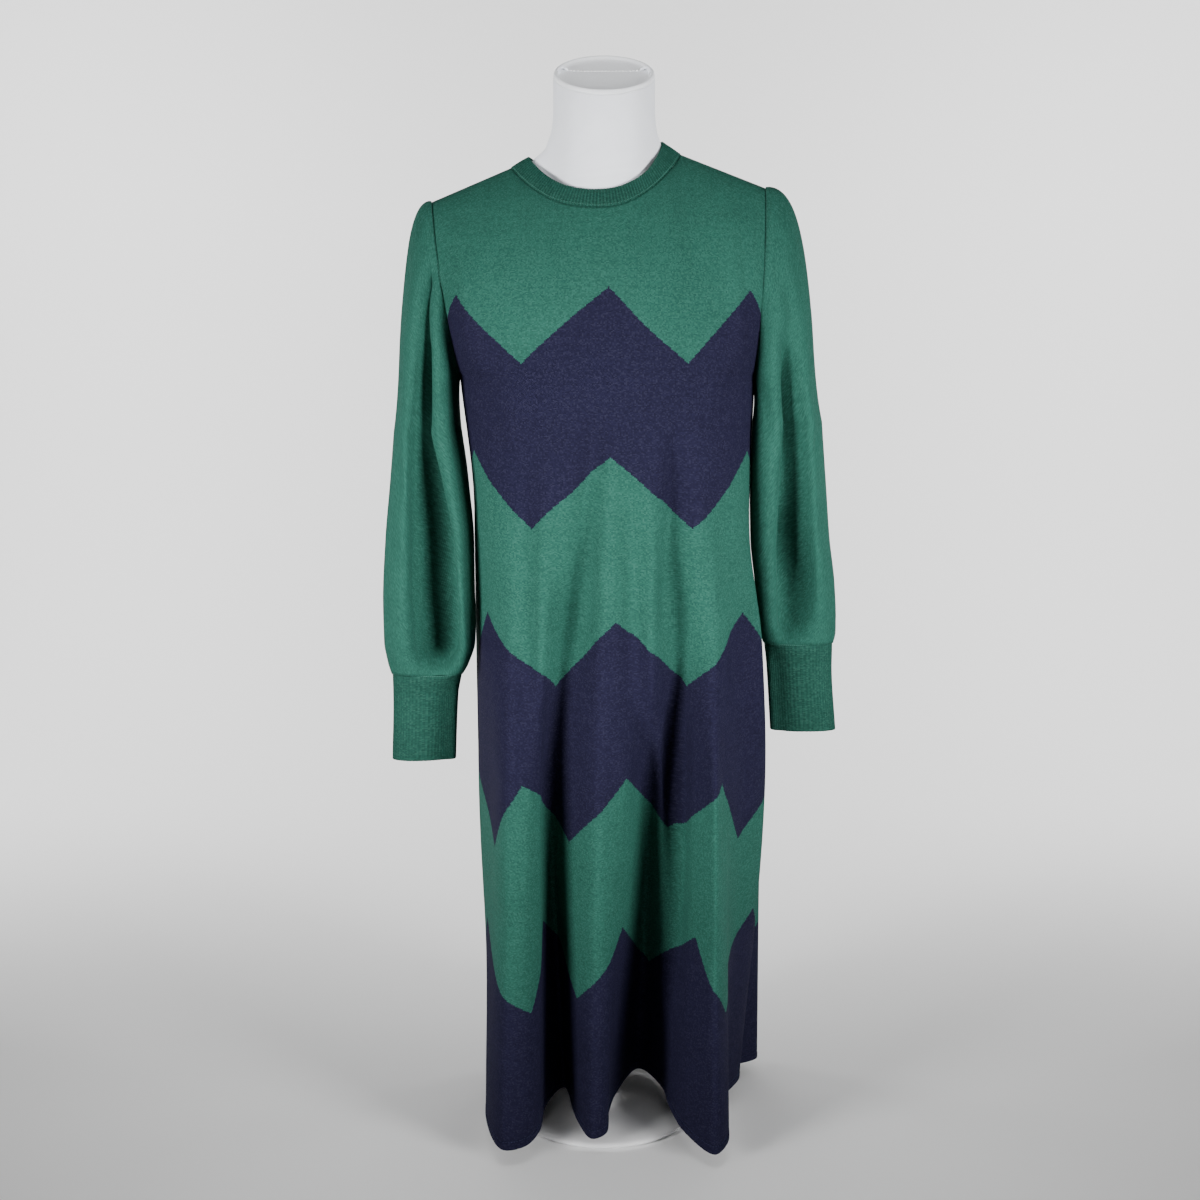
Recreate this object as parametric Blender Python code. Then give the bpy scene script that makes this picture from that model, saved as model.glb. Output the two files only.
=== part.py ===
"""A knit midi dress worn by a limbless dress form on a round base.

Metres, +Z up. The front faces -Y, and left is the viewer's left, -X.
The origin is the centre of the underside of the base, on the floor.
Sizes are written in millimetres, and MM turns them into metres.
"""
import math

import bmesh
import bpy
import numpy as np

MM = 0.001
TINY = 1e-9
CURVE_STEPS = 16

# Cloth and seams
CLOTH = 2.0
SEAM_GAP = 0.3
RIB_RISE = 0.7

# Heights of the dress above the floor
BUST_Z = 925.0
WAIST_Z = 765.0
HIP_Z = 600.0
MID_Z = 440.0
SKIRT_ROWS = 12
YOKE_ROWS = 10

# The body of the dress where it hangs smooth: height, left x, right x, front y, back y
BUST_OVAL = (-170.0, 177.0, -122.0, 104.0)
WAIST_OVAL = (-155.0, 173.0, -112.0, 100.0)
OVAL_POWER = 2.2

# The skirt's folds, a row for each fold line, round from the left side seam to the right one:
# name, columns to the next line, turn round the waist in degrees,
# x and y at the hip, half way down and at the hem, height of the hem
FRONT_FOLDS = (
    ("left seam", 2, 0, -155, 8, -155, 22, -134, 18, 25),
    ("first flank", 3, 28, -138, -54, -138, -50, -145, -72, 28),
    ("first crest", 1, 47, -110, -99, -112, -126, -120, -151, 20),
    ("first dip", 2, 56, -88, -101, -90, -123, -93, -143, 21),
    ("first edge", 2, 64, -72, -106, -75, -104, -78, -118, 26),
    ("first wall", 2, 69, -60, -94, -73, -76, -71, -56, 32),
    ("first valley", 3, 76, -47, -80, -64, -60, -50, 0, 30),
    ("second flank", 2, 82, -31, -86, -42, -82, -33, -88, 28),
    ("second crest", 1, 87, -6, -113, -8, -117, -15, -126, 22),
    ("second crease", 2, 92, 12, -112, 9, -111, 2, -118, 24),
    ("second edge", 2, 96, 30, -104, 28, -97, 6, -68, 28),
    ("second wall", 2, 100, 42, -106, 42, -66, 16, -26, 35),
    ("second valley", 2, 105, 55, -108, 54, -50, 44, 31, 41),
    ("small crest", 1, 110, 69, -92, 70, -62, 73, -24, 40),
    ("small valley", 2, 116, 84, -77, 88, -58, 80, -70, 36),
    ("third flank", 2, 124, 99, -84, 108, -96, 97, -118, 26),
    ("third crest", 2, 135, 127, -99, 129, -129, 131, -157, 17),
    ("third edge", 2, 143, 141, -84, 142, -100, 148, -136, 22),
    ("third wall", 1, 150, 149, -64, 152, -76, 147, -62, 24),
    ("side valley", 2, 158, 162, -44, 166, -48, 149, -16, 22),
    ("side crest", 2, 168, 190, -19, 197, -10, 174, 38, 26),
    ("right seam", 0, 179, 182, 13, 186, 42, 160, 74, 22),
)
BACK_FOLDS = (
    ("right seam", 2, 179, 182, 13, 186, 42, 160, 74, 22),
    ("right corner", 3, 200, 188, 54, 198, 82, 204, 120, 17),
    ("fourth crest", 2, 222, 152, 91, 160, 130, 164, 168, 17),
    ("fourth edge", 2, 236, 116, 99, 121, 124, 120, 160, 18),
    ("third back valley", 3, 246, 89, 86, 92, 94, 90, 92, 24),
    ("fifth crest", 2, 258, 57, 108, 60, 126, 58, 156, 17),
    ("fifth edge", 2, 270, 13, 109, 14, 124, 12, 157, 17),
    ("middle back valley", 3, 282, -22, 88, -18, 90, -18, 82, 25),
    ("sixth crest", 2, 294, -57, 102, -54, 120, -56, 152, 17),
    ("sixth edge", 2, 309, -95, 91, -94, 112, -94, 142, 18),
    ("left back valley", 2, 320, -115, 68, -113, 86, -116, 92, 23),
    ("left corner", 2, 338, -145, 50, -146, 66, -138, 78, 20),
    ("left seam", 0, 360, -155, 8, -155, 22, -134, 18, 25),
)

# Shoulders and neckline: points x, y, z on the seams
LEFT_TIP = (-201.0, 2.0, 1124.0)
RIGHT_TIP = (188.0, 2.0, 1140.0)
FRONT_NECKLINE = (
    (-108, 2, 1163), (-86, -34, 1142), (-56, -64, 1124), (-18, -79, 1117),
    (20, -77, 1120), (53, -52, 1138), (76, -26, 1160), (89, 2, 1178),
)
BACK_NECKLINE = (
    (89, 2, 1178), (76, 34, 1168), (44, 60, 1158), (-6, 70, 1151),
    (-58, 60, 1148), (-94, 34, 1154), (-108, 2, 1163),
)
BAND_TOP = (
    (-88, 2, 1175), (-68, -32, 1154), (-44, -53, 1141), (-16, -62, 1136), (15, -60, 1139),
    (44, -47, 1153), (61, -25, 1174), (68, 2, 1192), (60, 28, 1188), (34, 49, 1178),
    (-6, 57, 1171), (-48, 50, 1167), (-76, 28, 1170),
)
LEFT_SHOULDER_COLUMNS = 6
RIGHT_SHOULDER_COLUMNS = 11
ARMHOLE_BOW = 57.0
ARMHOLE_SHAPE = 0.7
ARMHOLE_REACH = 0.32
YOKE_LIFT = 0.42
# How far out and how far down a panel runs from its shoulder seam, and from its neckline
SHOULDER_RUN = (60.0, 22.0)
NECK_RUN = (42.0, 66.0)
RIBS_PER_NECK_COLUMN = 3

# Sleeves: height, outer x, inner x, middle y, half depth, fold place from outer to inner, fold depth
LEFT_SLEEVE = (
    (860, -249, -170, -6, 60, 0.42, 9),
    (800, -254, -161, -13, 56, 0.50, 13),
    (730, -260, -154, -22, 50, 0.57, 17),
    (660, -263, -153.5, -28, 45, 0.62, 19),
    (610, -262, -155, -28, 40, 0.64, 17),
    (584, -257, -163, -26, 33, 0.66, 10),
    (572, -253, -170, -25, 27, 0.67, 4),
)
RIGHT_SLEEVE = (
    (870, 259, 178.5, 2, 60, 0.38, 9),
    (800, 266, 177, 10, 56, 0.42, 12),
    (730, 273, 179, 20, 50, 0.46, 13),
    (670, 281, 186, 26, 45, 0.52, 15),
    (630, 283, 190, 27, 40, 0.56, 14),
    (611, 282, 193, 26, 33, 0.58, 8),
    (600, 279, 196, 25, 28, 0.60, 3),
)
# How a sleeve leaves its armhole and comes to its first row: outward and up,
# at the underarm and at the crown
UNDERARM_LEAVE = (2.0, -24.0)
UNDERARM_ARRIVE = (-3.0, -24.0)
LEFT_CROWN_LEAVE = (36.0, 2.0)
LEFT_CROWN_ARRIVE = (15.0, -90.0)
RIGHT_CROWN_LEAVE = (56.0, 4.0)
RIGHT_CROWN_ARRIVE = (24.0, -100.0)
CAP_BULGE = 14.0
UNDERARM_SHARE = 0.35
CAP_ROWS = 6
LONG_STEP = 50
SLEEVE_POWER = 2.3
FOLD_WIDTH = 0.42

# Cuffs: height, outer x, inner x, middle y, half depth
LEFT_CUFF = (
    (571.7, -253, -170, -25, 25),
    (545, -253, -174, -24, 19),
    (466, -255.5, -178, -24, 16),
)
RIGHT_CUFF = (
    (599.7, 279, 196, 25, 26),
    (574, 279, 199, 24, 19),
    (491, 285, 205, 23, 16),
)
CUFF_RIBS = 58

# Dress form: height, half width, reach of the shoulders beyond it, front y, back y,
# how much the ring rises for each mm of y
FORM_RINGS = (
    (660, 84, 0, -58, 54, 0), (664, 104, 0, -72, 66, 0), (676, 118, 0, -80, 74, 0),
    (705, 128, 0, -86, 82, 0), (745, 126, 0, -88, 82, 0), (800, 124, 0, -94, 82, 0),
    (860, 142, 0, -108, 90, 0), (925, 156, 0, -115, 97, 0), (980, 162, 0, -112, 97, 0),
    (1035, 162, 4, -101, 90, 0), (1080, 150, 16, -84, 78, 0), (1110, 120, 47, -71, 66, 0),
    (1128, 92, 75, -62, 58, 0), (1136, 80, 83, -57.5, 54, 0), (1142.3, 72, 76, -56.5, 52, 0),
    (1151, 65, 59, -54, 51, 0), (1160, 62, 37, -53, 50, 0), (1168, 61, 25, -52, 50, 0),
    (1175, 60.5, 18, -52, 50, 0), (1183, 60, 9, -51, 50, 0), (1193, 60, 4.5, -50, 50, 0.03),
    (1206, 59.5, 1, -50, 50, 0.09), (1228, 58.5, 0, -50, 50, 0.26), (1260, 58.5, 0, -50, 50, 0.5),
    (1265, 56.5, 0, -48, 48, 0.5),
)
SHOULDER_POWER = 22
CREASE_ANGLE = 40
FORM_SIDES = 28
NECK_CAP = (
    (1265.4, 55.5, 0, -47, 47, 0.5), (1267.5, 56, 0, -47.5, 47.5, 0.5), (1271, 50, 0, -42, 42, 0.5),
)
ROUND_SIDES = 36
BASE_PROFILE = ((0, 108), (2, 110), (6, 110), (9, 106), (11, 30), (24, 22), (28, 19))
POLE_PROFILE = ((28.3, 12.5), (631.7, 12.5))
COLLAR_PROFILE = ((632, 20), (634, 22), (650, 22), (656, 34), (659.7, 36))

# Colours and finish of each material: name, red, green, blue, roughness, metallic
GREEN_KNIT = ("green_knit", 0.035, 0.165, 0.125, 0.85, 0.0)
RIB_KNIT = ("rib_knit", 0.035, 0.165, 0.125, 0.88, 0.0)
WHITE_JERSEY = ("white_jersey", 0.78, 0.79, 0.84, 0.9, 0.0)
WHITE_ENAMEL = ("white_enamel", 0.82, 0.82, 0.82, 0.35, 0.0)


def clear_scene():
    for old in list(bpy.data.objects):
        bpy.data.objects.remove(old, do_unlink=True)


def material(look):
    name, red, green, blue, roughness, metallic = look
    found = bpy.data.materials.get(name)
    if found is not None:
        return found
    made = bpy.data.materials.new(name)
    made.use_nodes = True
    shader = made.node_tree.nodes["Principled BSDF"]
    shader.inputs["Base Color"].default_value = (red, green, blue, 1.0)
    shader.inputs["Roughness"].default_value = roughness
    shader.inputs["Metallic"].default_value = metallic
    return made


def unit(vectors):
    return vectors / np.maximum(np.linalg.norm(vectors, axis=-1, keepdims=True), TINY)


def eased(at, levels, values):
    """The smooth line through values at rising levels, which never overshoots them."""
    levels = np.asarray(levels, float)
    values = np.asarray(values, float)
    steps = np.diff(levels)
    slopes = np.diff(values) / steps
    tangents = np.zeros(len(levels))
    tangents[0] = slopes[0]
    tangents[-1] = slopes[-1]
    for i in range(1, len(levels) - 1):
        if slopes[i - 1] * slopes[i] > 0:
            tangents[i] = 2.0 / (1.0 / slopes[i - 1] + 1.0 / slopes[i])
    i = int(np.clip(np.searchsorted(levels, at) - 1, 0, len(steps) - 1))
    t = float(np.clip((at - levels[i]) / steps[i], 0.0, 1.0))
    start = (1 + 2 * t) * (1 - t) ** 2 * values[i] + t * (1 - t) ** 2 * steps[i] * tangents[i]
    end = t * t * (3 - 2 * t) * values[i + 1] + t * t * (t - 1) * steps[i] * tangents[i + 1]
    return start + end


def mixed(one, other, start, end, at):
    return ((end - at) * one + (at - start) * other) / (end - start)


def curve_between(before, start, end, after, t):
    """A point on the centripetal Catmull-Rom curve from start to end."""
    a = max(np.linalg.norm(start - before), TINY) ** 0.5
    b = a + max(np.linalg.norm(end - start), TINY) ** 0.5
    c = b + max(np.linalg.norm(after - end), TINY) ** 0.5
    at = a + (b - a) * t
    middle = mixed(start, end, a, b, at)
    lower = mixed(mixed(before, start, 0, a, at), middle, 0, b, at)
    upper = mixed(middle, mixed(end, after, b, c, at), a, c, at)
    return mixed(lower, upper, a, b, at)


def smooth_closed(points):
    """A fine line along the smooth closed curve through the given points."""
    points = np.asarray(points, float)
    count = len(points)
    ring = [
        curve_between(*(points[(k + step) % count] for step in (-1, 0, 1, 2)), t)
        for k in range(count)
        for t in np.linspace(0, 1, CURVE_STEPS, endpoint=False)
    ]
    return np.vstack((ring, ring[0]))


def smooth_open(points, fractions):
    """Points at fractions of the length of the smooth open curve through the given points."""
    points = np.asarray(points, float)
    padded = np.vstack((2 * points[0] - points[1], points, 2 * points[-1] - points[-2]))
    fine = [
        curve_between(*padded[k:k + 4], t)
        for k in range(len(points) - 1)
        for t in np.linspace(0, 1, CURVE_STEPS, endpoint=False)
    ]
    return along(np.vstack((fine, points[-1])), fractions)


def along(line, fractions):
    """Points at fractions of the length of a line of points."""
    lengths = np.concatenate(([0.0], np.cumsum(np.linalg.norm(np.diff(line, axis=0), axis=1))))
    places = np.asarray(fractions) * lengths[-1]
    return np.stack([np.interp(places, lengths, line[:, axis]) for axis in range(3)], axis=1)


# ---- Body of the dress -------------------------------------------------------------------

def oval_point(oval, turn):
    """A point of the smooth body, turned round from the left side by way of the front."""
    left, right, front, back = oval
    across = math.cos(math.radians(turn))
    deep = math.sin(math.radians(turn))
    power = 2 / OVAL_POWER
    x = (left + right) / 2 - (right - left) / 2 * math.copysign(abs(across) ** power, across)
    depth = -front if deep >= 0 else back
    y = -depth * math.copysign(abs(deep) ** power, deep)
    return x, y


def fold_point(fold, rise):
    """A fold line's point at a share of its rise from the hem to the bust."""
    _, _, turn, hip_x, hip_y, mid_x, mid_y, hem_x, hem_y, hem_z = fold
    bust_x, bust_y = oval_point(BUST_OVAL, turn)
    waist_x, waist_y = oval_point(WAIST_OVAL, turn)
    z = hem_z + (BUST_Z - hem_z) * rise
    levels = (hem_z, MID_Z, HIP_Z, WAIST_Z, BUST_Z)
    x = eased(z, levels, (hem_x, mid_x, hip_x, waist_x, bust_x))
    y = eased(z, levels, (hem_y, mid_y, hip_y, waist_y, bust_y))
    return np.array((x, y, z))


def skirt_rings():
    """The grids of front and back points from the hem up to the bust."""
    folds = FRONT_FOLDS[:-1] + BACK_FOLDS[:-1]
    front_columns = sum(fold[1] for fold in FRONT_FOLDS)
    rings = []
    for row in range(SKIRT_ROWS + 1):
        points = [fold_point(fold, row / SKIRT_ROWS) for fold in folds]
        count = len(points)
        ring = []
        for k, fold in enumerate(folds):
            near = [points[(k + step) % count] for step in (-1, 0, 1, 2)]
            ring += [curve_between(*near, t / fold[1]) for t in range(fold[1])]
        rings.append(ring + [ring[0]])
    rings = np.array(rings)
    return rings[:, :front_columns + 1], rings[:, front_columns:]


def armhole(side_point, tip, facing):
    """The armhole's points from the underarm to the shoulder tip, bowed to the front or back."""
    share = np.linspace(0, 1, YOKE_ROWS + 1)[:, None]
    line = side_point * (1 - share) + np.asarray(tip) * share
    line[:, 1] += facing * ARMHOLE_BOW * np.sin(np.pi * share[:, 0]) ** ARMHOLE_SHAPE
    return line


def yoke(ring, facing, neckline, tips, shoulder_columns):
    """The rows of a panel above the bust, up to its shoulder seams and neckline."""
    columns = len(ring) - 1
    first, last = shoulder_columns
    neck = columns - first - last
    top = np.vstack((
        along(np.array((tips[0], neckline[0]), float), np.linspace(0, 1, first + 1))[:-1],
        smooth_open(neckline, np.linspace(0, 1, neck + 1)),
        along(np.array((neckline[-1], tips[1]), float), np.linspace(0, 1, last + 1))[1:],
    ))
    rows = []
    for j in range(columns + 1):
        inside = np.clip(min(j - first, columns - last - j) / (neck / 2), 0, 1)
        slope = math.sin(inside * math.pi / 2)
        out, down = np.array(SHOULDER_RUN) * (1 - slope) + np.array(NECK_RUN) * slope
        low = ring[j] + np.array((0, 0, YOKE_LIFT * (top[j][2] - ring[j][2])))
        high = top[j] + np.array((0, facing * out, -down))
        share = np.linspace(0, 1, YOKE_ROWS + 1)[:, None]
        rows.append(
            (1 - share) ** 3 * ring[j] + 3 * share * (1 - share) ** 2 * low
            + 3 * share ** 2 * (1 - share) * high + share ** 3 * top[j]
        )
    grid = np.stack(rows, axis=1)
    for edge, tip, inward in ((0, tips[0], 1), (columns, tips[1], -1)):
        pull = armhole(ring[edge], tip, facing) - grid[:, edge]
        for j in range(columns + 1):
            near = max(0.0, 1 - inward * (j - edge) / (ARMHOLE_REACH * columns)) ** 2
            grid[:, j] += pull * near
    return grid[1:]


def grid_normals(grid, closed=False):
    """Unit normals of a grid of points, rows by columns."""
    if closed:
        round_about = np.roll(grid, -1, axis=1) - np.roll(grid, 1, axis=1)
    else:
        round_about = np.gradient(grid, axis=1)
    return unit(np.cross(round_about, np.gradient(grid, axis=0)))


def outward_normals(grid):
    """Unit normals of a tube of points, away from its middle."""
    rise = grid_normals(grid, closed=True)
    if np.sum(rise[-1] * (grid[-1] - grid[-1].mean(axis=0))) < 0:
        return -rise
    return rise


def seam_shift(line, rise, towards, closed=False):
    """Half of the seam's gap at each point of a seam, square to the wall and towards a side."""
    if closed:
        course = np.roll(line, -1, axis=0) - np.roll(line, 1, axis=0)
    else:
        course = np.gradient(line, axis=0)
    aside = unit(np.cross(course, rise))
    aside *= np.where(np.sum(aside * towards, axis=1) < 0, -1.0, 1.0)[:, None]
    return aside * SEAM_GAP / 2


# ---- Sleeves, cuffs and neckband -----------------------------------------------------------

def tube_ring(z, outer_x, inner_x, middle_y, half_depth, turns):
    """A flattened ring, turned from its inner side by way of the front."""
    across = np.cos(turns)
    deep = np.sin(turns)
    power = 2 / SLEEVE_POWER
    x = (outer_x + inner_x) / 2 + (inner_x - outer_x) / 2 * np.sign(across) * abs(across) ** power
    y = middle_y - half_depth * np.sign(deep) * abs(deep) ** power
    return np.stack((x, y, np.full_like(x, z)), axis=1)


def sleeve_ring(rows, z, turns):
    """The sleeve's ring at a height, with its one long fold pressed into the front."""
    levels = [row[0] for row in rows[::-1]]
    outer_x, inner_x, middle_y, half_depth, place, depth = (
        eased(z, levels, [row[k] for row in rows[::-1]]) for k in range(1, 7)
    )
    ring = tube_ring(z, outer_x, inner_x, middle_y, half_depth, turns)
    fold_turn = math.acos(np.clip(2 * place - 1, -1, 1))
    press = depth * np.exp(-(((turns - fold_turn) / FOLD_WIDTH) ** 2))
    ring[:, 1] += press
    return ring


def sleeve_grid(rows, loop, outward, crown_leave, crown_arrive):
    """The sleeve's rows from the armhole loop down to the cuff seam."""
    turns = np.arange(len(loop)) * 2 * math.pi / len(loop)
    raised = (1 - np.cos(turns)) / 2
    leave = np.stack((
        outward * (UNDERARM_LEAVE[0] + (crown_leave[0] - UNDERARM_LEAVE[0]) * raised),
        -CAP_BULGE * np.sin(turns),
        UNDERARM_LEAVE[1] + (crown_leave[1] - UNDERARM_LEAVE[1]) * raised,
    ), axis=1)
    arrive = np.stack((
        outward * (UNDERARM_ARRIVE[0] + (crown_arrive[0] - UNDERARM_ARRIVE[0]) * raised),
        np.zeros(len(loop)),
        UNDERARM_ARRIVE[1] + (crown_arrive[1] - UNDERARM_ARRIVE[1]) * raised,
    ), axis=1)
    high = sleeve_ring(rows, rows[0][0], turns)
    grid = []
    for t in np.linspace(0, 1, CAP_ROWS + 1):
        grid.append(
            (1 - t) ** 3 * loop + 3 * t * (1 - t) ** 2 * (loop + leave)
            + 3 * t * t * (1 - t) * (high - arrive) + t ** 3 * high
        )
    for upper, lower in zip(rows, rows[1:]):
        steps = 2 if upper[0] - lower[0] > LONG_STEP else 1
        for k in range(1, steps + 1):
            grid.append(sleeve_ring(rows, mixed(upper[0], lower[0], 0, steps, k), turns))
    return np.array(grid)


def cuff_grid(rows):
    turns = np.arange(2 * CUFF_RIBS) * math.pi / CUFF_RIBS
    return np.array([tube_ring(*row, turns) for row in rows])


# ---- Solids --------------------------------------------------------------------------------

def finish(name, bm, look, parent):
    bmesh.ops.triangulate(bm, faces=bm.faces[:])
    bmesh.ops.recalc_face_normals(bm, faces=bm.faces[:])
    mesh = bpy.data.meshes.new(name)
    bm.to_mesh(mesh)
    bm.free()
    mesh.materials.append(material(look))
    mesh.shade_smooth()
    mesh.set_sharp_from_angle(angle=math.radians(CREASE_ANGLE))
    made = bpy.data.objects.new(name, mesh)
    bpy.context.scene.collection.objects.link(made)
    made.parent = parent
    return made


def wall(name, outer, inner, look, parent, closed=False):
    """One closed wall from matching grids of outer and inner points, with its edges."""
    rows, columns = outer.shape[:2]
    around = columns if closed else columns - 1
    bm = bmesh.new()
    out = [[bm.verts.new(point * MM) for point in row] for row in outer]
    ins = [[bm.verts.new(point * MM) for point in row] for row in inner]
    for j in range(around):
        k = (j + 1) % columns
        for i in range(rows - 1):
            bm.faces.new((out[i][j], out[i][k], out[i + 1][k], out[i + 1][j]))
            bm.faces.new((ins[i][j], ins[i + 1][j], ins[i + 1][k], ins[i][k]))
        bm.faces.new((out[0][k], out[0][j], ins[0][j], ins[0][k]))
        bm.faces.new((out[-1][j], out[-1][k], ins[-1][k], ins[-1][j]))
    if not closed:
        for i in range(rows - 1):
            bm.faces.new((out[i][0], out[i + 1][0], ins[i + 1][0], ins[i][0]))
            bm.faces.new((out[i + 1][-1], out[i][-1], ins[i][-1], ins[i + 1][-1]))
    return finish(name, bm, look, parent)


def stacked(name, rings, look, parent):
    """A solid through rings of points, flat at both ends."""
    bm = bmesh.new()
    loops = [[bm.verts.new(point * MM) for point in ring] for ring in rings]
    for low, high in zip(loops, loops[1:]):
        for j in range(len(low)):
            k = (j + 1) % len(low)
            bm.faces.new((low[j], low[k], high[k], high[j]))
    bm.faces.new(loops[0][::-1])
    bm.faces.new(loops[-1])
    return finish(name, bm, look, parent)


def form_ring(z, half_width, shoulder, front, back, lean):
    """An oval ring of the form, drawn out at both sides where the shoulders are."""
    turns = np.arange(FORM_SIDES) * 2 * math.pi / FORM_SIDES
    across = np.cos(turns)
    deep = np.sin(turns)
    x = (half_width + shoulder * abs(across) ** SHOULDER_POWER) * across
    y = np.where(deep < 0, -deep * front, deep * back)
    return np.stack((x, y, z + lean * y), axis=1)


def turned(profile):
    """Round rings from a profile of heights and radii."""
    turns = np.arange(ROUND_SIDES) * 2 * math.pi / ROUND_SIDES
    circle = np.stack((np.cos(turns), np.sin(turns), np.zeros(ROUND_SIDES)), axis=1)
    return [circle * radius + np.array((0, 0, z)) for z, radius in profile]


class Panel:
    """A panel's outer points, the direction of its wall and how far its seams draw it back."""

    def __init__(self, grid):
        self.grid = grid
        self.rise = grid_normals(grid)
        self.shift = np.zeros_like(grid)


def join_panels(one, one_part, other, other_part):
    """Join two panels: one wall direction along the seam, and half of the gap from each."""
    both = unit(one.rise[one_part] + other.rise[other_part])
    one.rise[one_part] = both
    other.rise[other_part] = both
    shift = seam_shift(one.grid[one_part], both, np.array((0, 1.0, 0)))
    one.shift[one_part] -= shift
    other.shift[other_part] += shift


def join_sleeve(front, back, edge, outward, rows, crown_leave, crown_arrive):
    """Set a sleeve into its armhole, a loop up the front panel's edge and down the back's."""
    low, top = SKIRT_ROWS, SKIRT_ROWS + YOKE_ROWS
    other = -1 - edge
    loop = np.vstack((front.grid[low:top + 1, edge], back.grid[top - 1:low:-1, other]))
    grid = sleeve_grid(rows, loop, outward, crown_leave, crown_arrive)
    rise = outward_normals(grid)
    panel_rise = np.vstack((front.rise[low:top + 1, edge], back.rise[top - 1:low:-1, other]))
    height = (loop[:, 2] - loop[0, 2]) / (loop[:, 2].max() - loop[0, 2])
    shared = np.clip(height / UNDERARM_SHARE, 0, 1)[:, None]
    both = unit(panel_rise + rise[0])
    panel_rise = unit(panel_rise * (1 - shared) + both * shared)
    rise[0] = unit(rise[0] * (1 - shared) + both * shared)
    rise[-1, :, 2] = 0
    rise[-1] = unit(rise[-1])
    shift = seam_shift(loop, both, np.array((outward, 0, 0)), closed=True)
    shift[0] = (outward * SEAM_GAP / 2, 0, 0)
    front.rise[low + 1:top + 1, edge] = panel_rise[1:YOKE_ROWS + 1]
    back.rise[low + 1:top + 1, other] = panel_rise[:YOKE_ROWS - 1:-1]
    front.shift[low:top + 1, edge] -= shift[:YOKE_ROWS + 1]
    back.shift[low, other] -= shift[0]
    back.shift[low + 1:top + 1, other] -= shift[:YOKE_ROWS - 1:-1]
    grid[0] += shift
    return grid, rise


def join_neckband(front, back, left, right):
    """The band's seam and top edge, with its points on the panels' own."""
    top = SKIRT_ROWS + YOKE_ROWS
    front_neck = slice(left, front.grid.shape[1] - right)
    back_neck = slice(right, back.grid.shape[1] - left)
    seam = np.vstack((front.grid[top, front_neck][:-1], back.grid[top, back_neck][:-1]))
    seam_rise = np.vstack((front.rise[top, front_neck][:-1], back.rise[top, back_neck][:-1]))
    after = np.roll(seam, -1, axis=0)
    lengths = np.linalg.norm(after - seam, axis=1)
    places = np.concatenate(([0.0], np.cumsum(lengths)[:-1])) / lengths.sum()
    band_top = along(smooth_closed(BAND_TOP), places)
    band_rise = unit(np.cross(after - np.roll(seam, 1, axis=0), band_top - seam))
    if np.sum(band_rise[:, 2]) < 0:
        band_rise = -band_rise
    both = unit(seam_rise + band_rise)
    shift = seam_shift(seam, both, band_top - seam, closed=True)
    count = len(seam)
    split = front.grid.shape[1] - right - left - 1
    for panel, neck, part in ((front, front_neck, np.arange(split + 1)),
                              (back, back_neck, np.arange(split, count + 1) % count)):
        panel.rise[top, neck] = both[part]
        panel.shift[top, neck] -= shift[part]
    return seam + shift, both, band_top, band_rise


def build_dress(parent):
    front_skirt, back_skirt = skirt_rings()
    left, right = LEFT_SHOULDER_COLUMNS, RIGHT_SHOULDER_COLUMNS
    front_yoke = yoke(front_skirt[-1], -1, FRONT_NECKLINE, (LEFT_TIP, RIGHT_TIP), (left, right))
    back_yoke = yoke(back_skirt[-1], 1, BACK_NECKLINE, (RIGHT_TIP, LEFT_TIP), (right, left))
    front = Panel(np.concatenate((front_skirt, front_yoke)))
    back = Panel(np.concatenate((back_skirt, back_yoke)))
    skirt = slice(0, SKIRT_ROWS + 1)
    top = SKIRT_ROWS + YOKE_ROWS
    join_panels(front, (skirt, 0), back, (skirt, -1))
    join_panels(front, (skirt, -1), back, (skirt, 0))
    join_panels(front, (top, slice(0, left + 1)), back, (top, slice(-1, -left - 2, -1)))
    join_panels(front, (top, slice(-1, -right - 2, -1)), back, (top, slice(0, right + 1)))
    sleeve_left = join_sleeve(front, back, 0, -1.0, LEFT_SLEEVE, LEFT_CROWN_LEAVE, LEFT_CROWN_ARRIVE)
    sleeve_right = join_sleeve(front, back, -1, 1.0, RIGHT_SLEEVE, RIGHT_CROWN_LEAVE, RIGHT_CROWN_ARRIVE)
    band = join_neckband(front, back, left, right)
    for name, panel in (("front", front), ("back", back)):
        outer = panel.grid + panel.shift
        wall(name, outer, outer - panel.rise * CLOTH, GREEN_KNIT, parent)
    for name, (outer, rise) in (("sleeve_left", sleeve_left), ("sleeve_right", sleeve_right)):
        wall(name, outer, outer - rise * CLOTH, GREEN_KNIT, parent, closed=True)
    build_neckband(*band, parent)


def ribbed(outer, rise):
    """Outer points with every second column raised by the height of a rib."""
    raised = outer.copy()
    raised[:, ::2] += rise[:, ::2] * RIB_RISE
    return raised


def build_neckband(seam, seam_rise, band_top, top_rise, parent):
    """The ribbed crew band, whose outer edge follows the panels' straight runs."""
    share = np.arange(2 * RIBS_PER_NECK_COLUMN)[:, None] / (2 * RIBS_PER_NECK_COLUMN)

    def divided(values):
        after = np.roll(values, -1, axis=0)
        return np.concatenate([a + (b - a) * share for a, b in zip(values, after)])

    grid = np.array((divided(seam), divided(band_top)))
    rise = unit(np.array((divided(seam_rise), divided(top_rise))))
    wall("neckband", ribbed(grid, rise), grid - rise * CLOTH, RIB_KNIT, parent, closed=True)


def build_cuffs(parent):
    for name, rows in (("cuff_left", LEFT_CUFF), ("cuff_right", RIGHT_CUFF)):
        grid = cuff_grid(rows)
        rise = outward_normals(grid)
        rise[:, :, 2] = 0
        rise = unit(rise)
        wall(name, ribbed(grid, rise), grid - rise * CLOTH, RIB_KNIT, parent, closed=True)


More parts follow.
